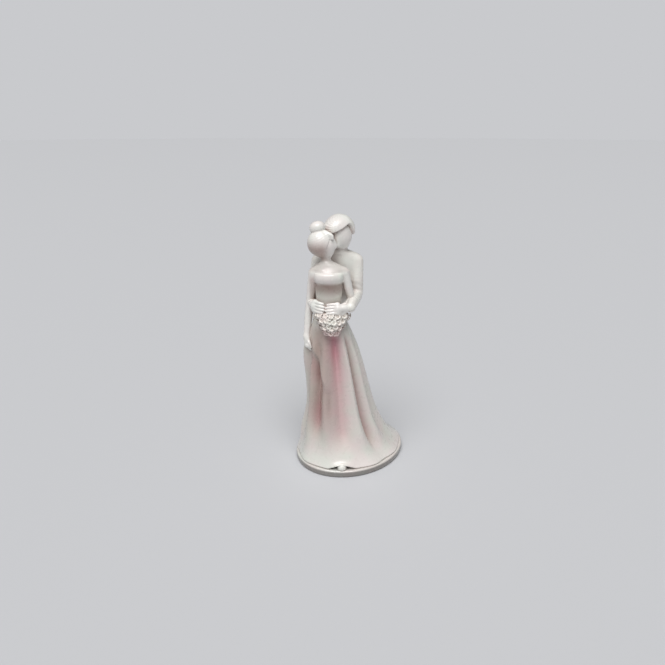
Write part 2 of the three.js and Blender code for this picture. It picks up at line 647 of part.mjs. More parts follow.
/** Jacket from its hem to square shoulders and the neck, leaning from his hips to his shoulders. */
function jacketBody(grow = 0) {
  const station = (drop, lean, back, width, depth) => [
    zCollar - drop,
    lerp(groomHipX, GROOM_X, lean),
    groomY + back * CHEST_DEPTH,
    width / 2,
    depth / 2,
  ];
  const stations = [
    station(JACKET_LENGTH, 0, 0.06, 0.94 * CHEST_WIDTH, 0.95 * CHEST_DEPTH),
    station(0.77 * JACKET_LENGTH, 0, 0.036, 0.89 * CHEST_WIDTH, 0.9 * CHEST_DEPTH),
    station(0.6 * JACKET_LENGTH, 0.2, 0.012, 0.86 * CHEST_WIDTH, 0.88 * CHEST_DEPTH),
    station(0.3 * JACKET_LENGTH, 0.85, 0, 0.92 * CHEST_WIDTH, CHEST_DEPTH),
    station(0.15 * JACKET_LENGTH, 1, 0, CHEST_WIDTH, 0.93 * CHEST_DEPTH),
    station(0.07 * JACKET_LENGTH, 1, 0, CHEST_WIDTH, 0.81 * CHEST_DEPTH),
    station(0.03 * JACKET_LENGTH, 1, 0, 0.84 * CHEST_WIDTH, 0.71 * CHEST_DEPTH),
    station(0, 1, 0, 1.38 * GROOM_NECK, 1.24 * GROOM_NECK),
  ];
  return solidOf(tower(stations, grow));
}

/** Slit up the middle of the jacket's back. */
function backVent() {
  const slit = new THREE.BoxGeometry(BACK_VENT_WIDTH, CHEST_DEPTH / 4, 2 * BACK_VENT_LENGTH);
  return solidOf(slit.translate(groomHipX, groomY + CHEST_DEPTH / 2, zJacketHem));
}

function collarBody(grow = 0) {
  const inner = GROOM_NECK + 2 * SLIP_GAP;
  const station = (rise, share) => {
    const wall = share * COLLAR_HEIGHT;
    return [zCollar + rise * COLLAR_HEIGHT, GROOM_X, groomY, inner / 2 + wall, inner / 2 + 0.88 * wall];
  };
  const stations = [station(-0.41, 0.53), station(0.5, 0.38), station(1, 0.265)];
  return solidOf(tower(stations, grow, 14, () => 0, 1));
}

// Groom's head

const groomNape = vec(GROOM_X, groomY, zCollar);
const groomHeadAt = beside(groomNape, GROOM_HEAD_HEIGHT, 0.019, -0.057, 0.43);

/** Piece of his head, offset from the middle of the skull in the head's own axes. */
function onGroomHead(geometry, right, back, up) {
  return solidOf(placed(geometry.translate(right, back, up), groomHeadAt, GROOM_HEAD_TURN));
}

function groomSkull(grow = 0) {
  const [width, depth, height] = [GROOM_HEAD_WIDTH, GROOM_HEAD_DEPTH, GROOM_HEAD_HEIGHT];
  return onGroomHead(egg(width + 2 * grow, depth + 2 * grow, height + 2 * grow, 0.28), 0, 0, 0);
}

/** Neck, with its foot as a tenon in the jacket. */
function groomNeckBody(grow = 0) {
  const foot = vec(GROOM_X, groomY + 0.07 * GROOM_NECK, zCollar - PLUG_DEPTH);
  const throat = foot.clone().lerp(groomHeadAt, 0.5);
  const radius = GROOM_NECK / 2;
  return solidOf(limb([foot, throat, groomHeadAt], [radius, radius], grow, 14, 4));
}

/** Space that his hair leaves bare: under the brow, in front of the temple, below the ear and the nape. */
function groomBareSpace() {
  const [far, top, temple, turn] = [2, 0.3, 0.08, 0.14].map((share) => share * GROOM_HEAD_HEIGHT);
  const side = new THREE.Shape()
    .moveTo(-far, top)
    .lineTo(temple - turn, top)
    .quadraticCurveTo(temple, top, temple, top - turn)
    .lineTo(temple, -0.12 * GROOM_HEAD_HEIGHT)
    .lineTo(GROOM_HEAD_DEPTH, -0.45 * GROOM_HEAD_HEIGHT)
    .lineTo(GROOM_HEAD_DEPTH, -far)
    .lineTo(-far, -far);
  const slab = new THREE.ExtrudeGeometry(side, { depth: 2 * far, bevelEnabled: false, curveSegments: 6 });
  const across = new THREE.Matrix4().makeBasis(vec(0, 1, 0), vec(0, 0, 1), vec(1, 0, 0));
  const bare = slab.translate(0, 0, -far).applyMatrix4(across).rotateY(radians(HAIRLINE_TILT));
  return onGroomHead(bare, 0, 0, 0);
}

/** Full hair with a lock swept across the forehead from the parting, cut off along the hairline. */
function groomHairBody() {
  const thick = 2 * GROOM_HAIR_THICKNESS;
  const edge = 2 * GROOM_HAIR_EDGE;
  const set = 1.45 * GROOM_HAIR_THICKNESS;
  const cap = egg(GROOM_HEAD_WIDTH + thick, GROOM_HEAD_DEPTH + thick, 0.81 * GROOM_HEAD_HEIGHT + thick, 0.14);
  const scalp = egg(GROOM_HEAD_WIDTH + edge, GROOM_HEAD_DEPTH + edge, GROOM_HEAD_HEIGHT + edge, 0.28);
  const swept = egg(FRINGE.width, FRINGE.depth, FRINGE.height).rotateY(radians(FRINGE.roll));
  const forehead = [-0.09 * GROOM_HEAD_WIDTH, -0.09 * GROOM_HEAD_DEPTH, 0.27 * GROOM_HEAD_HEIGHT];
  return onGroomHead(cap, 0, set, set)
    .add(onGroomHead(scalp, 0, 0, 0))
    .add(onGroomHead(swept, ...forehead))
    .subtract(groomBareSpace());
}

// Groom's arms

const shoulderDrop = 0.81 * SLEEVE_DIAMETER;
const groomShoulder = (side) => vec(GROOM_X + side * 0.47 * CHEST_WIDTH, groomY, zCollar - shoulderDrop);
const leftCuff = beside(clasp, GROOM_HAND_LENGTH, 0.767, -0.027, 0.013);
const rightCuff = beside(vec(BRIDE_X, BRIDE_Y, clasp.z), WAIST_WIDTH, -0.61, 0.055, 0.028);

function sleeveBody(shoulder, elbow, cuff, grow) {
  const upper = shoulder.clone().lerp(elbow, 0.5);
  const sleeve = SLEEVE_DIAMETER / 2;
  const radii = [sleeve, sleeve, 0.88 * sleeve, CUFF_DIAMETER / 2];
  return solidOf(limb([shoulder, upper, elbow, cuff], radii, grow));
}

function leftSleeveBody(grow = 0) {
  const elbow = beside(groomShoulder(1).setZ(zWaist + ELBOW_RISE), SLEEVE_DIAMETER, 0, -0.53, 0);
  return sleeveBody(groomShoulder(1), elbow, leftCuff, grow);
}

function rightSleeveBody(grow = 0) {
  const elbow = beside(groomShoulder(-1).setZ(zWaist + ELBOW_RISE), SLEEVE_DIAMETER, -0.3, -0.106, 0);
  return sleeveBody(groomShoulder(-1), elbow, rightCuff, grow);
}

const groomLeftHand = {
  length: GROOM_HAND_LENGTH,
  curl: 30,
  thumbSide: 1,
  wrist: beside(leftCuff, GROOM_HAND_LENGTH, -0.1, -0.053, 0),
  along: vec(-1, -0.3, 0),
  back: vec(-0.3, -1, 0.25),
};
const groomRightHand = {
  length: GROOM_HAND_LENGTH,
  curl: 50,
  thumbSide: -1,
  wrist: beside(rightCuff, GROOM_HAND_LENGTH, 0.013, -0.1, 0),
  along: vec(0.3, -1, 0),
  back: vec(-1, -0.35, 0.15),
};

// Posy

const posyAt = vec(BRIDE_X + POSY_SIDE, waistFront - 0.2 * POSY_BULGE, zWaist - POSY_DROP);
// Height of a blossom's rim above the dome: the flat blossom stands further off towards its edge.
const blossomRise = BLOSSOM_HEIGHT + BLOSSOM_DIAMETER ** 2 / (4 * POSY_BULGE);

/** Domed cushion under the blossoms, narrower at its foot. */
function posyBody(grow = 0) {
  const [width, depth, height] = [POSY_WIDTH, 2 * POSY_BULGE, POSY_HEIGHT].map((size) => size + 2 * grow);
  const dome = egg(width, depth, height, POSY_TAPER, 16, 9);
  return solidOf(dome.translate(posyAt.x, posyAt.y, posyAt.z));
}

/** Half width of the posy and how far its front narrows and comes forward, at a height above its middle. */
function posyBelt(up) {
  const below = Math.max(0, (-2 * up) / POSY_HEIGHT) ** 2;
  const narrow = 1 - POSY_TAPER * below;
  const belt = Math.sqrt(1 - ((2 * up) / POSY_HEIGHT) ** 2) * narrow;
  const forward = POSY_BULGE * 0.5 * POSY_TAPER * below;
  return { half: (POSY_WIDTH / 2) * belt, bulge: POSY_BULGE * belt, forward };
}

/** Point on the front of the posy at a distance right of and above its middle. */
function posyPoint(right, up) {
  const { half, bulge, forward } = posyBelt(up);
  const out = bulge * Math.sqrt(Math.max(0, 1 - (right / half) ** 2)) + forward;
  return vec(posyAt.x + right, posyAt.y - out, posyAt.z + up);
}

/** Five-petalled cup facing +Z, its back at the origin. */
function blossomGeometry() {
  const radius = BLOSSOM_DIAMETER / 2;
  const petal = (angle) => 1 - PETAL_NOTCH * (1 - Math.abs(Math.cos((PETALS * angle) / 2)));
  const ring = (share, lift, edge = () => 1) =>
    around(3 * PETALS, (angle) => {
      const reach = radius * share * edge(angle);
      return vec(reach * Math.cos(angle), reach * Math.sin(angle), lift * BLOSSOM_HEIGHT);
    });
  return loft([ring(0.4, 0), ring(1, 1, petal), ring(0.34, 0.55)]);
}

/** Staggered rows of blossoms over the front of the posy, each with its place and the way it faces. */
function blossomPlaces() {
  const pitch = BLOSSOM_DIAMETER + BLOSSOM_SPACING;
  const rise = pitch * Math.cos(radians(30));
  const rows = Math.floor((POSY_HEIGHT - 0.8 * BLOSSOM_DIAMETER) / rise) + 1;
  const step = 0.1;
  const places = [];
  for (let row = 0; row < rows; row++) {
    const up = ((rows - 1) / 2 - row) * rise;
    const reach = posyBelt(up).half - 0.3 * BLOSSOM_DIAMETER;
    const stagger = row % 2 ? 0.5 : 0;
    for (let k = Math.ceil(-reach / pitch - stagger); (k + stagger) * pitch <= reach; k++) {
      const right = (k + stagger) * pitch;
      const sideways = posyPoint(right + step, up).sub(posyPoint(right - step, up));
      const upwards = posyPoint(right, up + step).sub(posyPoint(right, up - step));
      const facing = sideways.cross(upwards).normalize();
      places.push({ at: posyPoint(right, up).addScaledVector(facing, SLIP_GAP), facing });
    }
  }
  return places;
}

// Assembly: each piece is trimmed to clear the neighbours it is joined to

const gown = [skirtBody(SLIP_GAP, SKIRT_FACETS, SKIRT_RINGS), bodiceBody(SLIP_GAP)];
const shoulders = shouldersBody(SLIP_GAP);
const posyRoom = posyBody(blossomRise + 2 * SLIP_GAP);
const brideArms = [brideRightArmBody(SLIP_GAP), brideLeftArmBody(SLIP_GAP)];
const brideHead = [brideHairBody(SLIP_GAP), brideSkull(SLIP_GAP), brideBunBody(SLIP_GAP), shoulders];
const brideHands = [handBody(brideRightHand, SLIP_GAP), handBody(brideLeftHand, SLIP_GAP)];
const wholeBride = [...gown, ...brideHead, ...brideArms, ...brideHands];

function bridePieces() {
  const group = new THREE.Group();
  const armClears = [shoulders, posyRoom, ...gown];
  const handClears = [...brideArms, posyRoom, ...gown];
  group.add(
    piece("skirt", skirtShell()),
    piece("bodice", trim(bodiceBody().add(peg()), [shoulders])),
    piece("bride_shoulders", shouldersBody()),
    piece("bride_head", trim(brideSkull(), [shoulders])),
    piece("bride_hair", trim(brideHairBody(), [brideSkull(SLIP_GAP), shoulders])),
    piece("bride_bun", trim(brideBunBody(), [brideHairBody(SLIP_GAP)])),
    piece("bride_right_arm", trim(brideRightArmBody(), armClears)),
    piece("bride_left_arm", trim(brideLeftArmBody(), armClears)),
    piece("bride_right_hand", trim(handBody(brideRightHand), handClears)),
    piece("bride_left_hand", trim(handBody(brideLeftHand), handClears)),
    piece("bride_shoe", brideShoeBody()),
  );
  return group;
}

function groomPieces() {
  const group = new THREE.Group();
  const jacket = jacketBody(SLIP_GAP);
  const neck = groomNeckBody(SLIP_GAP);
  const skull = groomSkull(SLIP_GAP);
  const jacketClears = [trousersBody(SLIP_GAP), neck, skull, backVent(), ...wholeBride];
  const hairClears = [skull, neck, collarBody(SLIP_GAP), jacket, ...brideHead];
  const sleeveClears = [jacket, posyRoom, ...wholeBride];
  const handClears = [leftSleeveBody(SLIP_GAP), rightSleeveBody(SLIP_GAP), posyRoom, ...wholeBride];
  const rightHandClears = [handBody(groomLeftHand, SLIP_GAP), ...handClears];
  const shoesRoom = groomLegs.map((x) => groomShoeBody(x, SLIP_GAP));
  group.add(
    piece("groom_jacket", trim(jacketBody(), jacketClears)),
    piece("groom_collar", trim(collarBody(), [jacket, neck, skull, ...brideHead])),
    piece("groom_head", trim(groomSkull().add(groomNeckBody()), brideHead)),
    piece("groom_hair", trim(groomHairBody(), hairClears)),
    piece("groom_left_sleeve", trim(leftSleeveBody(), sleeveClears)),
    piece("groom_right_sleeve", trim(rightSleeveBody(), sleeveClears)),
    piece("groom_left_hand", trim(handBody(groomLeftHand), handClears)),
    piece("groom_right_hand", trim(handBody(groomRightHand), rightHandClears)),
    piece("groom_trousers", trim(trousersBody(), shoesRoom)),
    piece("groom_right_shoe", groomShoeBody(groomLegs[0])),
    piece("groom_left_shoe", groomShoeBody(groomLegs[1])),
  );
  return group;
}

/** Cushion and blossoms; a place where a blossom would touch the gown stays empty. */
function posyPieces() {
  const group = new THREE.Group();
  group.add(piece("posy_cushion", trim(posyBody(), gown)));
  const blossom = blossomGeometry();
  const front = new THREE.Vector3(0, 0, 1);
  for (const { at, facing } of blossomPlaces()) {
    const mesh = new THREE.Mesh(blossom, pearlGlaze());
    mesh.position.copy(at);
    mesh.quaternion.setFromUnitVectors(front, facing);
    mesh.updateMatrix();
    const solid = solidOf(blossom.clone().applyMatrix4(mesh.matrix));
    if (gown.some((cloth) => cloth.intersect(solid).volume() > 0)) continue;
    mesh.name = "blossom_" + String(group.children.length).padStart(2, "0");
    group.add(mesh);
  }
  return group;
}

const topper = new THREE.Group();
topper.add(piece("plinth", plinthSolid(), pearlLustre()), bridePieces(), groomPieces(), posyPieces());

export default topper;
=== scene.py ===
"""Wedding cake topper: a bride and groom in an embrace on an oval plinth, cast in pearl-lustre porcelain.

Shapes are worked out in millimetres in the part's own frame (the couple faces -Y, +Z is up) and turned
into metres where a mesh is made. Figures are sculpted as soft forms: each form is a function that gives
the signed distance to its surface, forms are fused like clay, and every casting is then taken from them.
"""

import logging
import math
from dataclasses import dataclass, field
from enum import Enum
from typing import Any, Callable, Iterable, Sequence

import bpy
import numpy as np
import openvdb
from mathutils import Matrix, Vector


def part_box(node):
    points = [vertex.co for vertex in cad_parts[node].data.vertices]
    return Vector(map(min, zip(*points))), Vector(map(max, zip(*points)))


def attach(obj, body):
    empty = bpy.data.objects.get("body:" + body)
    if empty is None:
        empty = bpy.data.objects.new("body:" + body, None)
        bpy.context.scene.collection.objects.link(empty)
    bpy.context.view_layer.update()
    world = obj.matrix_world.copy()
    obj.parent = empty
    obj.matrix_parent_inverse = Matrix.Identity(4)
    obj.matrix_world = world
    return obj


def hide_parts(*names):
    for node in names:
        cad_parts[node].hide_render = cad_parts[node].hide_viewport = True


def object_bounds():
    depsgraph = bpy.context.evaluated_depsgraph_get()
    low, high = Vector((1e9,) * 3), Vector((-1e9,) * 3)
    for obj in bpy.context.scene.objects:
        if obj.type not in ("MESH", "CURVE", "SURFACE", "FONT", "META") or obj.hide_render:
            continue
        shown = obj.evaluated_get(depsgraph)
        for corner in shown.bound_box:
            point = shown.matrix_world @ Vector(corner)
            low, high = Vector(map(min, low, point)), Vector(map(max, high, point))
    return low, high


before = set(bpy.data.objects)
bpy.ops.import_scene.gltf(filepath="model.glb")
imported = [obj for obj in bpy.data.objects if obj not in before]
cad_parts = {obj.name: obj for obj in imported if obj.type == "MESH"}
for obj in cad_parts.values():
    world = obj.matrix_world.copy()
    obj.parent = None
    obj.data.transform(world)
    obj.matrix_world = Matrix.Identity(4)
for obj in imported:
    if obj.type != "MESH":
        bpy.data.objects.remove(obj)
CAD_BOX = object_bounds()

LOG = logging.getLogger("topper")
MM = 0.001
ROOT = "root"
SHARP_ANGLE = 50

Points = np.ndarray
Pair = tuple[float, float]
Triple = tuple[float, float, float]
Form = Callable[[Points], np.ndarray]
Step = tuple[str, str, dict[str, Any], dict[str, Any] | tuple]

# Types of node that are used often, and what a step of arithmetic does
MATH, SPLIT, COMBINE = "ShaderNodeMath", "ShaderNodeSeparateXYZ", "ShaderNodeCombineXYZ"
NOISE, MIX, MAP_RANGE = "ShaderNodeTexNoise", "ShaderNodeMix", "ShaderNodeMapRange"
ON_POINTS = "GeometryNodeInstanceOnPoints"
ADD, SUBTRACT = {"operation": "ADD"}, {"operation": "SUBTRACT"}
MULTIPLY, DIVIDE = {"operation": "MULTIPLY"}, {"operation": "DIVIDE"}
MULTIPLY_ADD, LESS_THAN = {"operation": "MULTIPLY_ADD"}, {"operation": "LESS_THAN"}
POWER, INVERSE_ROOT = {"operation": "POWER"}, {"operation": "INVERSE_SQRT"}
SINE, COSINE = {"operation": "SINE"}, {"operation": "COSINE"}


class Slot(Enum):
    """Material slots of the part's record."""

    PLINTH = "plinth_lustre"
    GOWN = "gown_pearl"
    SKIN = "skin_pearl"
    HAIR = "hair_pearl"
    SUIT = "suit_pearl"
    POSY = "posy_pearl"


class ShadeLayer(Enum):
    """Amounts of painted colour that each point of a mesh carries: grey painted shade, and a pink tint that
    also darkens as painted shade.
    """

    HOLLOW = "hollow"
    ROSE = "rose"


# Small helpers


def smooth_step(value: np.ndarray, start: float, end: float) -> np.ndarray:
    """Rises smoothly from 0 at start to 1 at end."""
    share = np.clip((value - start) / (end - start), 0, 1)
    return share * share * (3 - 2 * share)


def band(value: np.ndarray, rise: Pair, fall: Pair) -> np.ndarray:
    """Rises from 0 to 1 over one stretch of values and falls back over another."""
    return smooth_step(value, *rise) * (1 - smooth_step(value, *fall))


def bell(offset: np.ndarray, spread: np.ndarray | float) -> np.ndarray:
    """Bell curve that is 1 in the middle."""
    return np.exp(-((offset / spread) ** 2))


def turn_between(a: np.ndarray, b: np.ndarray) -> np.ndarray:
    """Shortest turn from angle b to angle a, in radians."""
    return np.arctan2(np.sin(a - b), np.cos(a - b))


def node_box(*nodes: str) -> tuple[np.ndarray, np.ndarray]:
    """Gives the corners, in millimetres, of the box round some solids of the frame.

    Args:
        nodes: names of the solids.

    Returns:
        The lowest and the highest corner.
    """
    corners = np.array([[tuple(c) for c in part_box(node)] for node in nodes]) / MM
    return corners[:, 0].min(0), corners[:, 1].max(0)


def curve_through(points: Sequence[Sequence[float]], count: int) -> np.ndarray:
    """Samples a smooth line through some points.

    Args:
        points: the points, of any number of coordinates.
        count: how many samples to take.

    Returns:
        The samples, evenly spaced over the point numbers.
    """
    knots = np.array(points, float)
    tangents = np.gradient(knots, axis=0)
    place = np.linspace(0, len(knots) - 1, count)
    i = np.minimum(place.astype(int), len(knots) - 2)
    t = (place - i)[:, None]
    ease = t * t * (3 - 2 * t)
    leave = t * (1 - t) ** 2
    arrive = t * t * (t - 1)
    return knots[i] * (1 - ease) + knots[i + 1] * ease + tangents[i] * leave + tangents[i + 1] * arrive


@dataclass(frozen=True)
class Pose:
    """Place and turn of a part of a figure, such as a head.

    Attributes:
        at: middle of the part.
        yaw: turn about the upright axis, in degrees.
        pitch: nod, in degrees.
        roll: tilt to the side, in degrees.
    """

    at: Triple
    yaw: float = 0.0
    pitch: float = 0.0
    roll: float = 0.0

    def axes(self) -> np.ndarray:
        """Gives the part's own axes as the columns of a matrix."""
        (cz, sz), (cx, sx), (cy, sy) = (
            (math.cos(math.radians(a)), math.sin(math.radians(a))) for a in (self.yaw, self.pitch, self.roll)
        )
        yaw = np.array([[cz, -sz, 0], [sz, cz, 0], [0, 0, 1]])
        pitch = np.array([[1, 0, 0], [0, cx, -sx], [0, sx, cx]])
        roll = np.array([[cy, 0, sy], [0, 1, 0], [-sy, 0, cy]])
        return yaw @ pitch @ roll

    def local(self, p: Points) -> Points:
        """Turns points of the frame into the part's own coordinates."""
        return self.axes().T.astype(np.float32) @ (p - np.array(self.at, np.float32)[:, None])

    def rolled(self, angle: float) -> "Pose":
        """Gives the pose tilted further to the side."""
        return Pose(self.at, self.yaw, self.pitch, self.roll + angle)

    def offset(self, right: float, back: float, up: float) -> "Pose":
        """Gives the pose moved along its own axes."""
        moved = self.axes() @ np.array([right, back, up]) + np.array(self.at)
        return Pose(tuple(moved), self.yaw, self.pitch, self.roll)


# Clay: forms and what is done with them


def oval_distance(scaled: Sequence[np.ndarray], radii: Sequence[np.ndarray | float]) -> np.ndarray:
    """Distance to an oval or ellipsoid about the origin, exact at its surface."""
    reach = np.sqrt(sum((q / r) ** 2 for q, r in zip(scaled, radii)))
    slope = np.sqrt(sum((q / (r * r)) ** 2 for q, r in zip(scaled, radii)))
    return reach * (reach - 1) / np.maximum(slope, 1e-6)


def egg(pose: Pose, size: Triple, taper: float = 0.0) -> Form:
    """Makes an egg that narrows below its middle and comes forward there as a chin.

    Args:
        pose: its place and turn.
        size: width, depth and height.
        taper: how far it narrows, as a share.

    Returns:
        The form.
    """

    def distance(p: Points) -> np.ndarray:
        """Distance at some points."""
        x, y, z = pose.local(p)
        below = np.clip(-2 * z / size[2], 0, 1.1) ** 2
        narrow = 1 - taper * below
        forward = 0.25 * taper * below * size[1]
        return oval_distance((x / narrow, (y + forward) / narrow, z), [s / 2 for s in size])

    return distance


def limb(points: Sequence[Triple], radii: Sequence[float], count: int) -> Form:
    """Makes a round limb along a smooth line.

    Args:
        points: what the line goes through.
        radii: the limb's radius, spread evenly along the line.
        count: how many samples the line has.

    Returns:
        The form.
    """
    line = curve_through(points, count).astype(np.float32)
    widths = np.interp(np.linspace(0, 1, count), np.linspace(0, 1, len(radii)), radii)

    def distance(p: Points) -> np.ndarray:
        """Distance at some points."""
        best = None
        for a, b, r0, r1 in zip(line[:-1], line[1:], widths[:-1], widths[1:]):
            run = b - a
            off = p - a[:, None]
            along = np.clip(run @ off / (run @ run), 0, 1)
            gap = off - run[:, None] * along
            here = np.sqrt((gap * gap).sum(0)) - (r0 + (r1 - r0) * along)
            best = here if best is None else np.minimum(best, here)
        return best

    return distance


def tower(stations: Sequence[Sequence[float]], softness: float) -> Form:
    """Makes an upright body of oval rings.

    Args:
        stations: rows of height, X, Y, half width and half depth, from the bottom up.
        softness: rounding of the two ends.

    Returns:
        The form.
    """
    rings_per_station = 12
    rows = curve_through(stations, rings_per_station * len(stations))
    rows = rows[np.argsort(rows[:, 0])]

    def distance(p: Points) -> np.ndarray:
        """Distance at some points."""
        x, y, half_width, half_depth = (np.interp(p[2], rows[:, 0], rows[:, k]) for k in range(1, 5))
        side = oval_distance((p[0] - x, p[1] - y), (half_width, half_depth))
        return soft_max(soft_max(side, rows[0, 0] - p[2], softness), p[2] - rows[-1, 0], softness)

    return distance


def soft_max(a: np.ndarray, b: np.ndarray, softness: float) -> np.ndarray:
    """Larger of two distances, with the corner between them rounded."""
    mix = np.clip(0.5 + 0.5 * (a - b) / softness, 0, 1)
    return b + (a - b) * mix + softness * mix * (1 - mix)


def fuse(softness: float, *forms: Form) -> Form:
    """Joins forms like clay, with the corner between them filled.

    Args:
        softness: how far the fillet reaches.
        forms: what is joined.

    Returns:
        The joined form.
    """

    def distance(p: Points) -> np.ndarray:
        """Distance at some points."""
        whole = forms[0](p)
        for form in forms[1:]:
            whole = -soft_max(-whole, -form(p), softness)
        return whole

    return distance


def carve(softness: float, form: Form, *cutters: Form) -> Form:
    """Cuts forms out of another, with rounded edges.

    Args:
        softness: rounding of the cut's edge.
        form: what is cut.
        cutters: what is taken away.

    Returns:
        The form that is left.
    """

    def distance(p: Points) -> np.ndarray:
        """Distance at some points."""
        rest = form(p)
        for cutter in cutters:
            rest = soft_max(rest, -cutter(p), softness)
        return rest

    return distance


def pressed(form: Form, depth: Callable[[Points], np.ndarray]) -> Form:
    """Presses a pattern into a form's surface, as deep as the pattern says at each place."""
    return lambda p: form(p) + depth(p)


def casting(whole: Form, own: Form, others: Iterable[Form]) -> Form:
    """Takes one casting out of a fused figure, tucked a little under its neighbours' edges.

    Args:
        whole: the fused figure.
        own: this casting's own form.
        others: the forms of the castings beside it.

    Returns:
        The casting's form.
    """
    tuck, sink = 0.35, 0.12
    others = list(others)

    def distance(p: Points) -> np.ndarray:
        """Distance at some points."""
        nearest = np.min([other(p) for other in others], axis=0)
        beyond = (own(p) - nearest) / 2
        return np.maximum(whole(p) + sink * smooth_step(beyond, 0, tuck), beyond - tuck)

    return distance


@dataclass
class Surface:
    """A closed mesh in millimetres.

    Attributes:
        points: one row for each corner.
        faces: one row of corner numbers for each face.
    """

    points: np.ndarray
    faces: np.ndarray

    def relaxed(self, rounds: int) -> "Surface":
        """Gives the mesh with each corner drawn to the middle of its neighbours and back, some times over."""
        draw_in, let_out = 0.5, -0.52
        points = self.points.copy()
        ring = np.roll(self.faces, -1, axis=1)
        ends = np.concatenate([self.faces.ravel(), ring.ravel()])
        mates = np.concatenate([ring.ravel(), self.faces.ravel()])
        count = np.maximum(np.bincount(ends, minlength=len(points)), 1)
        for move in (draw_in, let_out) * rounds:
            mean = np.stack([np.bincount(ends, points[mates, k], len(points)) / count for k in range(3)], 1)
            points += move * (mean - points)
        return Surface(points, self.faces)


def cast(form: Form, nodes: Sequence[str], pitch: float, margin: float = 1.6) -> Surface:
    """Takes the surface of a form inside the box of the solids that it stands for.

    Args:
        form: the sculpted form.
        nodes: solids of the frame whose box, with a margin, holds the form.
        pitch: spacing of the samples.
        margin: room round the box.

    Returns:
        The mesh.
    """
    shell_cells, rounds = 3, 2
    low, high = node_box(*nodes)
    axes = [np.arange(a - margin, b + margin + pitch, pitch, dtype=np.float32) for a, b in zip(low, high)]
    samples = np.stack(np.meshgrid(*axes, indexing="ij")).reshape(3, -1)
    values = form(samples).reshape([len(axis) for axis in axes]).astype(np.float32)
    reach = shell_cells * pitch
    for k in range(3):
        edge = np.moveaxis(values, k, 0)
        edge[0] = edge[-1] = reach
    volume = openvdb.FloatGrid(reach)
    volume.copyFromArray(np.clip(values, -reach, reach))
    points, quads = volume.convertToQuads(0.0)
    start = np.array([axis[0] for axis in axes])
    return Surface(points.astype(float) * pitch + start, quads.astype(np.int64)).relaxed(rounds)


def loft(rows: np.ndarray) -> Surface:
    """Makes a closed mesh through rings of points, with a fan over the first and the last.

    Args:
        rows: rings by points by coordinates.

    Returns:
        The mesh, its fans as quads with a doubled last corner.
    """
    rings, count, _ = rows.shape
    index = np.arange(rings * count).reshape(rings, count)
    turned = np.roll(index, -1, axis=1)
    quads = np.stack([index[:-1], turned[:-1], turned[1:], index[1:]], -1).reshape(-1, 4)
    points = np.concatenate([rows.reshape(-1, 3), rows[[0, -1]].mean(1)])
    first, last = len(points) - 2, len(points) - 1
    fans = [
        np.stack([np.full(count, first), turned[0], index[0], index[0]], -1),
        np.stack([np.full(count, last), index[-1], turned[-1], turned[-1]], -1),
    ]
    return Surface(points, np.concatenate([quads, *fans]))


# Meshes and pieces


def face_list(faces: np.ndarray) -> list[list[int]]:
    """Gives faces as plain lists, with a doubled last corner dropped."""
    return [row[:3] if row[2] == row[3] else row for row in faces.tolist()]


def make_object(name: str, surface: Surface) -> bpy.types.Object:
    """Makes a smooth-shaded mesh object at the origin.

    Args:
        name: the object's name.
        surface: its mesh, in millimetres.

    Returns:
        The object, in the scene.
    """
    mesh = bpy.data.meshes.new(name)
    mesh.from_pydata((surface.points * MM).tolist(), [], face_list(surface.faces))
    mesh.validate()
    mesh.shade_smooth()
    piece = bpy.data.objects.new(name, mesh)
    bpy.context.scene.collection.objects.link(piece)
    return piece


def hand_over(piece: bpy.types.Object, nodes: Sequence[str]) -> bpy.types.Object:
    """Sets a finished piece in the frame in place of its solids.

    Args:
        piece: the finished piece.
        nodes: solids that it stands for.

    Returns:
        The same piece.
    """
    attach(piece, ROOT)
    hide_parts(*nodes)
    LOG.info("%s: %d faces for %s", piece.name, len(piece.data.polygons), ", ".join(nodes))
    return piece


def add_node(
    tree: bpy.types.NodeTree, kind: str, settings: dict[str, Any], links: dict[Any, Any]
) -> bpy.types.Node:
    """Adds a node to a tree.

    Args:
        tree: a material's, a world's or a geometry tree.
        kind: the node's type.
        settings: its properties.
        links: for an input's name or number, the socket that feeds it, a list of sockets, or its value.

    Returns:
        The node.
    """
    node = tree.nodes.new(kind)
    for key, value in settings.items():
        setattr(node, key, value)
    for key, value in links.items():
        for feed in value if isinstance(value, list) else [value]:
            if isinstance(feed, bpy.types.NodeSocket):
                tree.links.new(feed, node.inputs[key])
            else:
                node.inputs[key].default_value = feed
    return node


def add_nodes(
    tree: bpy.types.NodeTree, steps: Iterable[Step], sockets: dict[str, bpy.types.NodeSocket]
) -> None:
    """Adds nodes one after another, each fed by the ones before it.

    Args:
        tree: the tree.
        steps: for each node its own name, its type, its settings and its links, by the inputs' names or in
            their order. In a link, "name" stands for the first output in use of the node of that name, and
            "name.Output" for another one.
        sockets: sockets that links may name from the start.
    """
    known = dict(sockets)
    for name, kind, settings, links in steps:
        feeds = dict(enumerate(links) if isinstance(links, tuple) else links)
        for key, value in list(feeds.items()):
            if isinstance(value, list):
                feeds[key] = [known[feed] for feed in value]
            elif isinstance(value, str):
                feeds[key] = known.get(value, value)
        in_use = [output for output in add_node(tree, kind, settings, feeds).outputs if output.enabled]
        known.update({f"{name}.{output.name}": output for output in in_use})
        known.update({name: output for output in in_use[:1]})


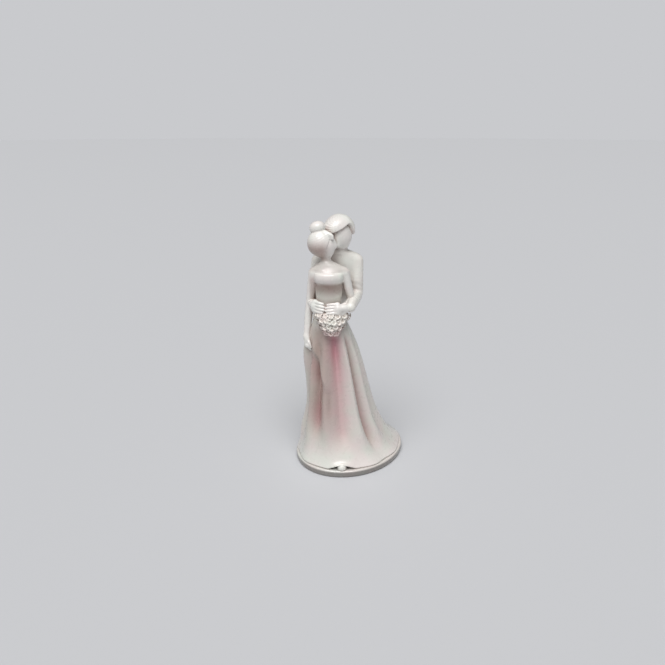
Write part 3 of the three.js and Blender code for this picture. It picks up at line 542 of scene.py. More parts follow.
def grown_piece(
    name: str,
    source: bpy.types.Mesh | None,
    steps: list[Step],
    values: dict[str, float | int],
    material: bpy.types.Material,
) -> bpy.types.Object:
    """Builds a geometry tree, runs it and keeps its result as a plain mesh.

    Args:
        name: the piece's name.
        source: mesh that the tree starts from, if any.
        steps: the tree's nodes, of which the last gives the shape.
        values: the tree's inputs, which the steps link to by their names.
        material: what the shape is dressed in.

    Returns:
        The piece, with no modifier left.
    """
    tree = bpy.data.node_groups.new(name + "_rule", "GeometryNodeTree")
    for way in ("OUTPUT", "INPUT"):
        tree.interface.new_socket("Geometry", in_out=way, socket_type="NodeSocketGeometry")
    inputs = {}
    for title, value in values.items():
        kind = "NodeSocketInt" if isinstance(value, int) else "NodeSocketFloat"
        inputs[title] = tree.interface.new_socket(title, in_out="INPUT", socket_type=kind).identifier
    last: list[Step] = [
        ("real", "GeometryNodeRealizeInstances", {}, {"Geometry": steps[-1][0]}),
        ("dressed", "GeometryNodeSetMaterial", {}, {"Geometry": "real", "Material": material}),
        ("end", "NodeGroupOutput", {}, {"Geometry": "dressed"}),
    ]
    given = add_node(tree, "NodeGroupInput", {}, {}).outputs
    add_nodes(tree, steps + last, dict(given.items()))
    piece = bpy.data.objects.new(name, source or bpy.data.meshes.new(name + "_start"))
    bpy.context.scene.collection.objects.link(piece)
    modifier = piece.modifiers.new(name, "NODES")
    modifier.node_group = tree
    for title, value in values.items():
        modifier[inputs[title]] = value
    graph = bpy.context.evaluated_depsgraph_get()
    mesh = bpy.data.meshes.new_from_object(piece.evaluated_get(graph), depsgraph=graph)
    piece.modifiers.remove(modifier)
    piece.data = mesh
    mesh.name = name
    mesh.shade_smooth()
    mesh.set_sharp_from_angle(angle=math.radians(SHARP_ANGLE))
    return piece


# Finishes


def linear(hex_colour: str) -> tuple[float, float, float, float]:
    """Turns an sRGB hex colour into the linear colour that shaders take."""
    channels = [int(hex_colour[i : i + 2], 16) / 255 for i in (1, 3, 5)]
    return (*[c / 12.92 if c <= 0.04045 else ((c + 0.055) / 1.055) ** 2.4 for c in channels], 1.0)


@dataclass(frozen=True)
class PearlPorcelain:
    """Slip-cast porcelain under a mother-of-pearl lustre glaze.

    The eye sees a milky white body with a soft satin shine. The lustre, brushed on thinly and fired last,
    shifts between pink and green on open surfaces. Painted shade is multiplied into the colour: warm grey
    in every hollow, and a pink tint that darkens the folds of the gown and other hollows.

    Attributes:
        name: the material's name.
        cool: open surfaces where the lustre leans to green.
        warm: open surfaces where it leans to pink.
        hollow: colour of the painted shade in hollows, multiplied into the colour.
        rose: colour of the pink tint, which darkens as painted shade, multiplied into it.
        roughness: mean roughness of the glaze.
        coat: weight of the clear glaze over it.
        cloud_mm: size of the lustre's colour clouds.
        ripple_mm: size of the ripples in the glaze.
        ripple_height_mm: how high the ripples stand.
        satin: how far the ripples shift the roughness down and up.
    """

    name: str
    cool: str = "#F0F0EA"
    warm: str = "#F4EEEA"
    hollow: str = "#A88D84"
    rose: str = "#EDA9B9"
    roughness: float = 0.3
    coat: float = 0.35
    cloud_mm: float = 11.0
    ripple_mm: float = 3.0
    ripple_height_mm: float = 0.025
    satin: Pair = (-0.05, 0.06)

    def build(self) -> bpy.types.Material:
        """Builds the node material."""
        material = bpy.data.materials.new(self.name)
        material.use_nodes = True
        tree = material.node_tree
        tree.nodes.clear()
        colours, painted_shade_blend = {"data_type": "RGBA"}, {"data_type": "RGBA", "blend_type": "MULTIPLY"}
        clouds = {"Scale": 1 / (self.cloud_mm * MM), "Detail": 2.0, "Roughness": 0.4}
        ripple = {"Scale": 1 / (self.ripple_mm * MM), "Detail": 0.5, "Roughness": 0.5}
        height = self.ripple_height_mm * MM
        satin = dict(zip(("To Min", "To Max"), (self.roughness + shift for shift in self.satin)))
        glaze = {"Base Color": "colour", "Roughness": "satin", "Normal": "bump", "IOR": 1.52}
        coat = {"Coat Weight": self.coat, "Coat Roughness": 0.16}
        steps: list[Step] = [
            ("place", "ShaderNodeTexCoord", {}, {}),
            # Pink and green clouds that the lustre shifts between
            ("clouds", NOISE, {}, {"Vector": "place.Object", **clouds}),
            ("lean", MAP_RANGE, {}, {"Value": "clouds", "From Min": 0.36, "From Max": 0.64}),
            ("body", MIX, colours, {"Factor": "lean", "A": linear(self.cool), "B": linear(self.warm)}),
            # Painted shade, warm grey, by the amounts on the mesh, then the pink tint, which also darkens as
            # painted shade
            ("hollow", "ShaderNodeAttribute", {"attribute_name": ShadeLayer.HOLLOW.value}, {}),
            ("run", MIX, painted_shade_blend, {"Factor": "hollow.Fac", "A": "body", "B": linear(self.hollow)}),
            ("rose", "ShaderNodeAttribute", {"attribute_name": ShadeLayer.ROSE.value}, {}),
            ("colour", MIX, painted_shade_blend, {"Factor": "rose.Fac", "A": "run", "B": linear(self.rose)}),
            # Soft ripples that break up the shine
            ("ripple", NOISE, {}, {"Vector": "place.Object", **ripple}),
            ("satin", MAP_RANGE, {}, {"Value": "ripple", "From Min": 0.3, "From Max": 0.7, **satin}),
            ("bump", "ShaderNodeBump", {}, {"Height": "ripple", "Distance": height, "Strength": 0.6}),
            ("glaze", "ShaderNodeBsdfPrincipled", {}, {**glaze, **coat}),
            ("surface", "ShaderNodeOutputMaterial", {}, {"Surface": "glaze"}),
        ]
        add_nodes(tree, steps, {})
        return material


# A finish's hollow colour is its painted shade; on the plinth it darkens the sides below the top edge
FINISHES = {
    Slot.PLINTH: PearlPorcelain(
        "glazed_porcelain_grey_lustre",
        cool="#D6D6D0",
        warm="#DAD3CE",
        hollow="#8F8D8B",
        roughness=0.24,
        coat=0.5,
    ),
    Slot.GOWN: PearlPorcelain("glazed_porcelain_pearl_gown", cool="#E7E9E1", warm="#ECE5E1"),
    Slot.SKIN: PearlPorcelain("glazed_porcelain_pearl_skin"),
    Slot.HAIR: PearlPorcelain("glazed_porcelain_pearl_hair"),
    Slot.SUIT: PearlPorcelain("glazed_porcelain_pearl_suit", cool="#EEEEE7", warm="#F0EBE5"),
    Slot.POSY: PearlPorcelain(
        "glazed_porcelain_pearl_posy",
        cool="#E8E6DE",
        warm="#EBE1DB",
        hollow="#CDBBB3",
        roughness=0.4,
        coat=0.2,
    ),
}


# The couple's shared places


@dataclass(frozen=True)
class Couple:
    """Places that both figures share. The levels are read from the frame.

    Attributes:
        bride: X and Y of the bride's axis.
        groom: X and Y of the groom's axis at the shoulders.
        groom_hips: X of the groom's hips.
        clasp: where the hands meet above the posy.
        grip: wrist of the hand that holds the skirt.
        hem: level of the skirt's hem.
        waist: level of the waist.
        neckline: level of the bodice's edge.
        collar: level of the jacket's neck.
    """

    bride: tuple[float, float] = (-14.5, -6.0)
    groom: tuple[float, float] = (-9.0, 10.0)
    groom_hips: float = -14.0
    clasp: Triple = (-12.5, -15.0, 110.3)
    grip: Triple = (-29.2, -9.0, 84.8)
    hem: float = node_box("skirt")[0][2]
    waist: float = node_box("skirt")[1][2]
    neckline: float = node_box("bodice")[1][2]
    collar: float = node_box("groom_jacket")[1][2]


COUPLE = Couple()


def from_place(place: Triple, right: float, back: float, up: float) -> Triple:
    """Gives a point at a distance from another, along the frame's axes."""
    return (place[0] + right, place[1] + back, place[2] + up)


# Plinth


@dataclass
class Plinth:
    """Oval slab with a rounded rim, a foot ring and the kiln vent.

    Attributes:
        length: along its long axis.
        width: across it.
        turn: direction of the long axis, in degrees.
        rim: rounding of its edges.
        foot_ring: width of the ring that it stands on.
        recess: depth of the underside inside the ring.
        vent: radius of the vent.
        around: facets round the oval.
        across: facets round the section.
        corner: facets of a rounded corner.
        ramp: share of the section over which the recess deepens.
        side_shade: grey painted shade on the sides below the top edge.
    """

    length: float = 80.0
    width: float = 67.5
    turn: float = 42.0
    rim: float = 1.1
    foot_ring: float = 7.0
    recess: float = 1.0
    vent: float = 6.0
    around: int = 240
    across: int = 140
    corner: int = 10
    ramp: float = 0.04
    side_shade: float = 0.85

    def reach(self, angle: np.ndarray) -> np.ndarray:
        """Distance from the middle to the edge in one direction."""
        turned = angle - math.radians(self.turn)
        return 1 / np.hypot(np.cos(turned) / (self.length / 2), np.sin(turned) / (self.width / 2))

    def steps(self) -> list[Step]:
        """Gives the nodes that turn a section round the oval."""
        grid = {"Size X": 1.0, "Size Y": 1.0, "Vertices X": self.around + 1, "Vertices Y": self.across + 1}
        rounding = {"Count": self.corner, "Radius": "Rim"}
        inside = {"Value": "out", "From Min": "ring_start", "From Max": "ring_end"}
        return [
            # Section beside the vent, with rounded corners
            ("span", MATH, SUBTRACT, ("Long Half", "Vent")),
            ("section", "GeometryNodeCurvePrimitiveQuadrilateral", {}, ("span", "Height")),
            ("corners", "GeometryNodeFilletCurve", {"mode": "POLY"}, {"Curve": "section", **rounding}),
            # Grid whose X runs round the oval and whose Y runs along the section
            ("grid", "GeometryNodeMeshGrid", {}, grid),
            ("place", "GeometryNodeInputPosition", {}, {}),
            ("cell", SPLIT, {}, ("place",)),
            ("angle", MATH, MULTIPLY_ADD, ("cell.X", 2 * math.pi, math.pi)),
            ("along", MATH, ADD, ("cell.Y", 0.5)),
            ("walk", "GeometryNodeSampleCurve", {"mode": "FACTOR"}, {"Curves": "corners", "Factor": "along"}),
            ("point", SPLIT, {}, ("walk.Position",)),
            # How far out each point lies, and how high
            ("share", MATH, DIVIDE, ("point.X", "span")),
            ("out", MATH, ADD, ("share", 0.5)),
            ("level", MATH, MULTIPLY_ADD, ("Height", 0.5, "point.Y")),
            # Recess of the underside, inside the foot ring
            ("ring", MATH, DIVIDE, ("Foot Ring", "span")),
            ("ring_start", MATH, SUBTRACT, (1.0, "ring")),
            ("ring_end", MATH, SUBTRACT, (1 - self.ramp, "ring")),
            ("inside", MAP_RANGE, {"interpolation_type": "SMOOTHSTEP"}, inside),
            ("low", MATH, MULTIPLY, ("Height", 0.1)),
            ("under", MATH, LESS_THAN, ("level", "low")),
            ("recessed", MATH, MULTIPLY, ("inside", "under")),
            ("raised", MATH, MULTIPLY_ADD, ("recessed", "Recess", "level")),
            # Distance to the oval's edge
            ("run", MATH, COSINE, ("angle",)),
            ("rise", MATH, SINE, ("angle",)),
            ("flat", MATH, DIVIDE, ("run", "Long Half")),
            ("steep", MATH, DIVIDE, ("rise", "Short Half")),
            ("flat_square", MATH, MULTIPLY, ("flat", "flat")),
            ("square", MATH, MULTIPLY_ADD, ("steep", "steep", "flat_square")),
            ("edge", MATH, INVERSE_ROOT, ("square",)),
            ("room", MATH, SUBTRACT, ("edge", "Vent")),
            ("radius", MATH, MULTIPLY_ADD, ("out", "room", "Vent")),
            # The point itself, on the turned oval
            ("turned", MATH, ADD, ("angle", "Turn")),
            ("right", MATH, COSINE, ("turned",)),
            ("back", MATH, SINE, ("turned",)),
            ("x", MATH, MULTIPLY, ("radius", "right")),
            ("y", MATH, MULTIPLY, ("radius", "back")),
            ("spot", COMBINE, {}, {"X": "x", "Y": "y", "Z": "raised"}),
            ("shaped", "GeometryNodeSetPosition", {}, {"Geometry": "grid", "Position": "spot"}),
            ("closed", "GeometryNodeMergeByDistance", {}, {"Geometry": "shaped", "Distance": 0.01 * MM}),
        ]

    def build(self, materials: dict[Slot, bpy.types.Material]) -> list[bpy.types.Object]:
        """Builds the slab and sets it in the frame.

        Args:
            materials: the finishes.

        Returns:
            The piece.
        """
        height = node_box("plinth")[1][2]
        values = {
            "Long Half": self.length / 2 * MM,
            "Short Half": self.width / 2 * MM,
            "Height": height * MM,
            "Rim": self.rim * MM,
            "Foot Ring": self.foot_ring * MM,
            "Recess": self.recess * MM,
            "Vent": self.vent * MM,
            "Turn": math.radians(self.turn),
        }
        piece = grown_piece("oval_plinth", None, self.steps(), values, materials[Slot.PLINTH])
        # Grey painted shade on the sides and underside, below the top edge, so that the top stays lighter
        level = OcclusionShadeMap.corners(piece.data)[:, 2]
        side = 1 - smooth_step(level, height - self.rim, height - 0.2 * self.rim)
        OcclusionShadeMap.lay(piece.data, ShadeLayer.HOLLOW, self.side_shade * side)
        return [hand_over(piece, ["plinth"])]


# Gown


@dataclass(frozen=True)
class Fold:
    """One fold that runs down the skirt.

    Attributes:
        waist: its place at the waist, in degrees round from +X.
        hem: its place at the hem.
        width: half width of the valley, in degrees.
        depth: depth of the valley.
        steep: how much steeper the wall on the lower-angle side is, from -1 to 1.
        reach: shares of the fall where it starts and where it has run out.
        rose: how much pink tint, which also darkens as painted shade, lies in it, from its start to its end.
        glaze: how much grey painted shade lies in its valley.
        bloom: how much further the pink tint spreads at the waist.
        onset: share of the fall over which it deepens.
        fade: share of the fall over which it runs out.
        left: share of its depth that is left at the hem.
        swell: height of the roll on either side, as a share of its depth.
        roll: place and half width of that roll, in half widths of the valley.
        core: half width of the valley's bell, in the same measure.
    """

    waist: float
    hem: float
    width: float
    depth: float
    steep: float = 0.0
    reach: Pair = (0.04, 0.97)
    rose: tuple[float, ...] = (0.0, 0.0)
    glaze: float = 0.12
    bloom: float = 0.0
    onset: float = 0.25
    fade: float = 0.17
    left: float = 0.08
    swell: float = 0.4
    roll: Pair = (1.9, 0.8)
    core: float = 0.9

    def off(self, angle: np.ndarray, fall: np.ndarray) -> np.ndarray:
        """Distance from the fold's line, in half widths of the wall on that side."""
        line = np.radians(self.waist + (self.hem - self.waist) * fall)
        off = turn_between(angle, line) / math.radians(self.width)
        return off / np.where(off < 0, 1 - self.steep, 1 + self.steep)

    def shown(self, fall: np.ndarray) -> np.ndarray:
        """Share of the fold's depth that shows at some places down the skirt."""
        start, end = self.reach
        gone = (1 - self.left) * smooth_step(fall, end - self.fade, end)
        return smooth_step(fall, start, start + self.onset) * (1 - gone)


@dataclass(frozen=True)
class HeldCloth:
    """Cloth that the hand gathers, with the ridge that runs from there to the front.

    Half widths are in degrees round the skirt.

    Attributes:
        at: where the hand holds it, in degrees round from +X.
        palm: how far the palm lies below the wrist.
        gather: how far the hand draws the cloth out.
        gather_half: half width of what it draws.
        gather_reach: how far down and up that reaches.
        sweep: how far the cloth sweeps out below the hand.
        sweep_half: half width of the sweep.
        sweep_level: its level and half height, as shares of the skirt's height.
        lobe: how far the hem stands out there.
        lobe_half: half width of the lobe.
        lobe_level: its height, as a share of the skirt's.
        ridge: height of the ridge.
        ridge_turn: where it starts and how far it runs round, in degrees.
        ridge_fall: height that it falls through.
        ridge_walls: half widths of its two walls.
        dip: depth of the hollow beside it.
        dip_aside: how far beside the ridge the hollow lies, and its half width.
        dip_below: how far below the palm it lies, and its half height.
        pleat: depth of the small pleats at the hand.
        pleat_turn: degrees round the skirt for each radian of the pleats' wave.
    """

    at: float = 188.0
    palm: float = 3.0
    gather: float = 4.5
    gather_half: float = 20.0
    gather_reach: Pair = (26.0, 13.0)
    sweep: float = 2.6
    sweep_half: float = 30.0
    sweep_level: Pair = (0.17, 0.13)
    lobe: float = 2.0
    lobe_half: float = 10.0
    lobe_level: float = 0.07
    ridge: float = 1.8
    ridge_turn: Pair = (-140.0, 37.0)
    ridge_fall: float = 31.0
    ridge_walls: Pair = (5.0, 8.0)
    dip: float = 1.5
    dip_aside: Pair = (16.0, 11.0)
    dip_below: Pair = (8.0, 24.0)
    pleat: float = 0.35
    pleat_turn: float = 6.5

    def beside_ridge(self, angle: np.ndarray, z: np.ndarray) -> tuple[np.ndarray, np.ndarray, np.ndarray]:
        """Places some points beside the ridge.

        Args:
            angle: round the skirt.
            z: level.

        Returns:
            The drop below the palm, the share of the ridge's run, and the turn from its line in degrees.
        """
        below = COUPLE.grip[2] - self.palm - z
        run = np.clip((below + 2.5) / self.ridge_fall, 0, 1)
        start, turn = self.ridge_turn
        return below, run, np.degrees(turn_between(angle, np.radians(start + turn * run)))

    def hollow(self, angle: np.ndarray, z: np.ndarray) -> np.ndarray:
        """Hollow under the hand, beside the ridge, from 0 to 1."""
        below, _, aside = self.beside_ridge(angle, z)
        (beside, half), (drop, reach) = self.dip_aside, self.dip_below
        return bell(aside + beside, half) * smooth_step(below, -4, 8) * bell(below - drop, reach)

    def swell(self, angle: np.ndarray, z: np.ndarray) -> np.ndarray:
        """Works out how far the cloth stands out where the hand draws it, and along the ridge.

        Args:
            angle: round the skirt.
            z: level.

        Returns:
            How far the cloth stands out from the plain skirt.
        """
        below, run, aside = self.beside_ridge(angle, z)
        off = np.degrees(turn_between(angle, math.radians(self.at)))
        reach = np.where(below > 0, *self.gather_reach)
        pull = self.gather * bell(off, self.gather_half) * bell(below, reach)
        height = (z - COUPLE.hem) / (COUPLE.waist - COUPLE.hem)
        level, half_height = self.sweep_level
        sweep = self.sweep * bell(off, self.sweep_half) * bell(height - level, half_height)
        lobe = self.lobe * bell(off + 2, self.lobe_half) * bell(np.maximum(height, 0), self.lobe_level)
        ridge = bell(aside, np.where(aside < 0, *self.ridge_walls)) * (1 - run**2) * smooth_step(below, -8, 2)
        pleats = self.pleat * np.cos(off / self.pleat_turn) * bell(off, 26) * bell(below - 6, 12)
        return pull + sweep + lobe + self.ridge * ridge - self.dip * self.hollow(angle, z) + pleats


@dataclass
class Gown:
    """The skirt, cast hollow, and the strapless bodice.

    Attributes:
        plinth: what the skirt stands on.
        folds: folds of the skirt.
        waist_half: half width and half depth of the waist.
        wall: thickness of the casting.
        columns: facets round the skirt.
        rows: facets down it.
        hip_power: how fast the skirt spreads below the waist.
        flare: share of its spread that it gains near the hem.
        flare_power: how late that share comes.
        hem_margin: how far the hem stays inside the plinth's edge.
        hem_wave: half depth of the hem's waves.
        hem_waves: waves in a full turn.
        back_reach: how far the hem reaches behind, where the shoes stand.
        back_spread: half width of that opening, in degrees.
        heel: X and Y of the middle of the opening.
        toe: X of the toe that shows under the hem.
        arch_half: half width of the arch over it.
        arch_height: height of the arch.
        held: the cloth that the hand gathers.
        bust_level: level of the bust, as a share of the bodice's height.
        edge: how far the bodice's edge stands above the neckline.
        skirt_shade: grey painted shade all over the skirt, less near the hem.
        dip_rose_shade: pink tint, which also darkens as painted shade, in the dip under the hand.
        held_shade: grey painted shade on the side of the skirt below the hand.
        under_bust_shade: grey painted shade under the bust.
    """

    plinth: Plinth
    folds: tuple[Fold, ...] = (
        Fold(-131, -130, 8, 2.7, 0.2, (0.1, 0.86), (0.05, 0.15, 0.5, 0.5), 0.05),
        Fold(-85, -92, 13, 3.2, 0.0, (0.02, 0.93), (1.0, 0.65, 0.5, 0.5), -0.1, 0.45),
        Fold(-50, -46, 7, 3.2, 0.35, (0.06, 0.96), (0.15, 0.25, 0.3), 0.5),
        Fold(-107, -106, 5, 1.0, 0.0, (0.42, 0.72)),
        Fold(-14, -12, 9, 1.4),
        Fold(26, 28, 8, 2.2),
        Fold(56, 54, 9, 2.0),
        Fold(-160, -158, 9, 1.8),
    )
    waist_half: Pair = (9.0, 7.0)
    wall: float = 2.4
    columns: int = 360
    rows: int = 190
    hip_power: float = 0.7
    flare: float = 0.36
    flare_power: float = 6.5
    hem_margin: float = 0.6
    hem_wave: float = 0.4
    hem_waves: int = 9
    back_reach: float = 11.0
    back_spread: float = 31.0
    heel: Pair = (-14.0, 18.0)
    toe: float = -6.0
    arch_half: float = 10.0
    arch_height: float = 3.2
    held: HeldCloth = HeldCloth()
    bust_level: float = 0.885
    edge: float = 0.8
    skirt_shade: float = 0.18
    dip_rose_shade: float = 0.45
    held_shade: float = 0.55
    under_bust_shade: float = 0.75

    @property
    def shelf(self) -> float:
        """Level of the bust."""
        return COUPLE.waist + self.bust_level * (COUPLE.neckline + self.edge - COUPLE.waist)

    def spread(self, fall: np.ndarray) -> np.ndarray:
        """Share of the way from the waist's oval to the hem's at some places down the skirt."""
        return (1 - self.flare) * fall**self.hip_power + self.flare * fall**self.flare_power

    def valley(self, angle: np.ndarray, fall: np.ndarray) -> np.ndarray:
        """Depth of the folds at some places, below zero in a valley.

        Args:
            angle: round the skirt.
            fall: share of the way from the waist to the hem.

        Returns:
            How far the cloth stands out from the plain skirt.
        """
        total = np.zeros_like(angle)
        for fold in self.folds:
            off = fold.off(angle, fall)
            place, width = fold.roll
            swell = fold.swell * bell(np.abs(off) * np.where(off < 0, 1 - fold.steep, 1) - place, width)
            total += fold.shown(fall) * fold.depth * (swell - bell(off, fold.core))
        return total

    def hem_reach(self, angle: np.ndarray) -> np.ndarray:
        """Distance from the plinth's middle to the hem."""
        wave = self.hem_wave * (1 + np.cos(self.hem_waves * angle))
        edge = self.plinth.reach(angle) - self.hem_margin - wave
        behind = turn_between(angle, math.atan2(self.heel[1], self.heel[0]))
        opening = bell(behind, math.radians(self.back_spread))
        return edge + (self.back_reach - edge) * opening**0.7

    def cloth(self, angle: np.ndarray, fall: np.ndarray, out: np.ndarray | float) -> np.ndarray:
        """Points on the skirt.

        Args:
            angle: round the skirt.
            fall: share of the way from the waist to the hem.
            out: how far off the outer surface.

        Returns:
            The points, with coordinates last.
        """
        spread = self.spread(fall)
        z = COUPLE.waist - (COUPLE.waist - COUPLE.hem) * fall
        reach = self.hem_reach(angle)
        off = self.valley(angle, fall) + self.held.swell(angle, z) + out
        points = []
        for along, centre, half in zip((np.cos(angle), np.sin(angle)), COUPLE.bride, self.waist_half):
            waist = centre + half * along
            points.append(waist + (reach * along - waist) * spread + off * along)
        side = np.clip((points[0] - self.toe) / self.arch_half, -1, 1)
        arch = self.arch_height * np.cos(side * math.pi / 2) ** 1.3 * (points[1] < 0)
        lifted = z + arch * bell(np.maximum(z - COUPLE.hem, 0), 3.5)
        return np.stack([points[0], points[1], lifted], -1)

    def skirt_surface(self) -> Surface:
        """Closed shell: outside from waist to hem, a rolled edge, and the inner wall back up."""
        angle = np.linspace(0, 2 * math.pi, self.columns, endpoint=False)[None, :]
        outer = 1 - (1 - np.linspace(0, 1, self.rows)) ** 1.15
        edge = [(0.995, -0.15), (1.0, -0.6), (1.0, -1.8), (0.995, -2.2)]
        inner = [(fall, -self.wall) for fall in np.linspace(0.985, 0.03, 26)]
        plan = [(0.992 * fall, 0.0) for fall in outer] + edge + inner
        fall = np.array([row[0] for row in plan])[:, None] + 0 * angle
        out = np.array([row[1] for row in plan])[:, None] + 0 * angle
        return loft(self.cloth(angle + 0 * fall, fall, out)[:, ::-1])

    def lay_skirt_shade(self, mesh: bpy.types.Mesh) -> None:
        """Marks how much pink tint and grey painted shade lie on each point of the skirt.

        Args:
            mesh: the skirt's mesh.
        """
        points = OcclusionShadeMap.corners(mesh)
        angle = np.zeros(len(points))
        fall = np.clip((COUPLE.waist - points[:, 2]) / (COUPLE.waist - COUPLE.hem), 0, 1)
        spread = self.spread(fall)
        for _ in range(4):
            middle = [centre * (1 - spread) for centre in COUPLE.bride]
            stretch = [half * (1 - spread) + self.hem_reach(angle) * spread for half in self.waist_half]
            x, y = ((points[:, k] - middle[k]) / stretch[k] for k in (0, 1))
            angle = np.arctan2(y, x)
        # Pink tint, which also darkens as painted shade, in the dip under the hand and down each fold
        rose = self.dip_rose_shade * self.held.hollow(angle, points[:, 2])
        # Grey painted shade over the skirt, less near the hem, and more in each fold's valley
        skirt_painted_shade = self.skirt_shade * (1 - 0.6 * smooth_step(fall, 0.85, 1))
        for fold in self.folds:
            start, end = fold.reach
            strength = np.interp(fall, np.linspace(start + 0.12, end - 0.1, len(fold.rose)), fold.rose)
            shown = band(fall, (start, start + 0.12), (end - fold.fade, end))
            off = fold.off(angle, fall)
            rose = np.maximum(rose, strength * shown * bell(off, 1 + fold.bloom * (1 - fall)))
            skirt_painted_shade += fold.glaze * shown * bell(off, fold.core)
        OcclusionShadeMap.lay(mesh, ShadeLayer.ROSE, rose)
        # More grey painted shade on the side of the skirt below the hand
        aside = np.degrees(turn_between(angle, math.radians(-127)))
        held = self.held_shade * bell(aside, 36) * band(fall, (0.02, 0.1), (0.6, 0.95))
        OcclusionShadeMap.lay(mesh, ShadeLayer.HOLLOW, skirt_painted_shade + held)

    def bodice_form(self) -> Form:
        """Bodice from the waist to the straight neckline, with the bust as one soft shelf."""
        (x, y), low, high = COUPLE.bride, COUPLE.waist, COUPLE.neckline + self.edge
        height = high - low
        rows = [
            (-0.18, 8.4, 6.2),
            (0.0, 8.6, 6.4),
            (0.25, 8.1, 5.7),
            (0.55, 8.5, 5.3),
            (0.75, 8.9, 5.7),
            (1.0, 9.0, 5.9),
        ]
        body = tower([(low + height * share, x, y, width, depth) for share, width, depth in rows], 0.7)
        level = self.shelf
        bust = [
            limb([(x + side * 2.2, y - 4.1, level), (x + side * 4.8, y - 3.5, level)], [4.6, 4.2], 4)
            for side in (-1, 1)
        ]
        shaped = fuse(3.2, body, fuse(2.4, *bust))
        return lambda p: soft_max(shaped(p), p[2] - high, 1.6)

    def shade_bodice(self, mesh: bpy.types.Mesh) -> None:
        """Lays grey painted shade under the bust.

        Args:
            mesh: the bodice's mesh.
        """
        points = OcclusionShadeMap.corners(mesh)
        drop = self.shelf - points[:, 2]
        front = smooth_step(COUPLE.bride[1] - points[:, 1], 0, 3)
        OcclusionShadeMap.lay(mesh, ShadeLayer.HOLLOW, self.under_bust_shade * front * band(drop, (2, 5), (7, 15)))

    def build(self, materials: dict[Slot, bpy.types.Material]) -> list[bpy.types.Object]:
        """Builds the skirt and the bodice and sets them in the frame.

        Args:
            materials: the finishes.

        Returns:
            The pieces.
        """
        skirt = make_object("gown_skirt", self.skirt_surface())
        self.lay_skirt_shade(skirt.data)
        bodice = make_object("gown_bodice", cast(self.bodice_form(), ["bodice"], 0.3))
        self.shade_bodice(bodice.data)
        for piece, node in ((skirt, "skirt"), (bodice, "bodice")):
            piece.data.materials.append(materials[Slot.GOWN])
            hand_over(piece, [node])
        return [skirt, bodice]


# Hands


@dataclass(frozen=True)
class Hand:
    """A hand with four fingers and a thumb, in shares of its length.

    Attributes:
        length: from the wrist to the fingertips.
        curl: how far the fingers bend, in degrees.
        thumb: side of the thumb, 1 or -1.
        wrist: where it starts.
        along: direction of the fingers.
        back: direction that the back of the hand faces.
    """

    length: float
    curl: float
    thumb: int
    wrist: Triple
    along: Triple
    back: Triple

    def form(self) -> Form:
        """Sculpts the hand."""
        x = np.array(self.along) / np.linalg.norm(self.along)
        y = np.cross(self.back, x)
        y /= np.linalg.norm(y)
        z = np.cross(x, y)

        def at(along: float, across: float, up: float) -> Triple:
            """Gives a point of the hand in the frame."""
            spot = np.array(self.wrist) + self.length * (along * x + self.thumb * across * y + up * z)
            return tuple(spot)

        def bent(share: float) -> Pair:
            """Gives the direction of a finger after some of its bend."""
            angle = math.radians(self.curl * share)
            return math.cos(angle), -math.sin(angle)

        size = self.length
        palm = limb(
            [at(0.0, 0.0, 0.0), at(0.2, 0.0, 0.02), at(0.42, 0.0, 0.02)],
            [0.13 * size, 0.15 * size, 0.13 * size],
            6,
        )
        knuckles = limb([at(0.42, -0.14, 0.0), at(0.44, 0.14, 0.0)], [0.1 * size, 0.1 * size], 4)
        digits = []
        for across, reach in ((-0.165, 0.82), (-0.057, 0.96), (0.055, 1.0), (0.162, 0.92)):
            root = (0.43, across, 0.02)
            run, drop = bent(0.45)
            joint = (root[0] + 0.28 * reach * run, across * 1.04, root[2] + 0.28 * reach * drop)
            run, drop = bent(1.0)
            tip = (joint[0] + 0.2 * reach * run, across * 1.02, joint[2] + 0.2 * reach * drop)
            radii = [0.068 * size, 0.064 * size, 0.05 * size]
            digits.append(limb([at(*root), at(*joint), at(*tip)], radii, 8))
        thumb = limb(
            [at(0.1, 0.12, -0.02), at(0.3, 0.25, -0.05), at(0.52, 0.27, -0.1)],
            [0.085 * size, 0.075 * size, 0.055 * size],
            8,
        )
        fingers = fuse(0.02 * size, *digits)
        return fuse(0.07 * size, fuse(0.12 * size, palm, knuckles, thumb), fingers)


# Castings


@dataclass(frozen=True)
class Batch:
    """Castings of one finish, fused like clay and then parted.

    Attributes:
        slot: their finish.
        forms: their forms, by the names of their solids.
        pitch: sample spacing.
        softness: how far they run together.
        fine: sample spacing of the finer ones.
    """

    slot: Slot
    forms: dict[str, Form]
    pitch: float
    softness: float = 0.0
    fine: dict[str, float] = field(default_factory=dict)

    def build(self, materials: dict[Slot, bpy.types.Material]) -> list[bpy.types.Object]:
        """Casts each form as a piece of its own and sets it in the frame.

        Args:
            materials: the finishes.

        Returns:
            The pieces, in the order of their forms.
        """
        whole = fuse(self.softness, *self.forms.values())
        pieces = []
        for node, form in self.forms.items():
            others = [other for name, other in self.forms.items() if name != node]
            own = casting(whole, form, others) if others else form
            piece = make_object("cast_" + node, cast(own, [node], self.fine.get(node, self.pitch)))
            piece.data.materials.append(materials[self.slot])
            pieces.append(hand_over(piece, [node]))
        return pieces


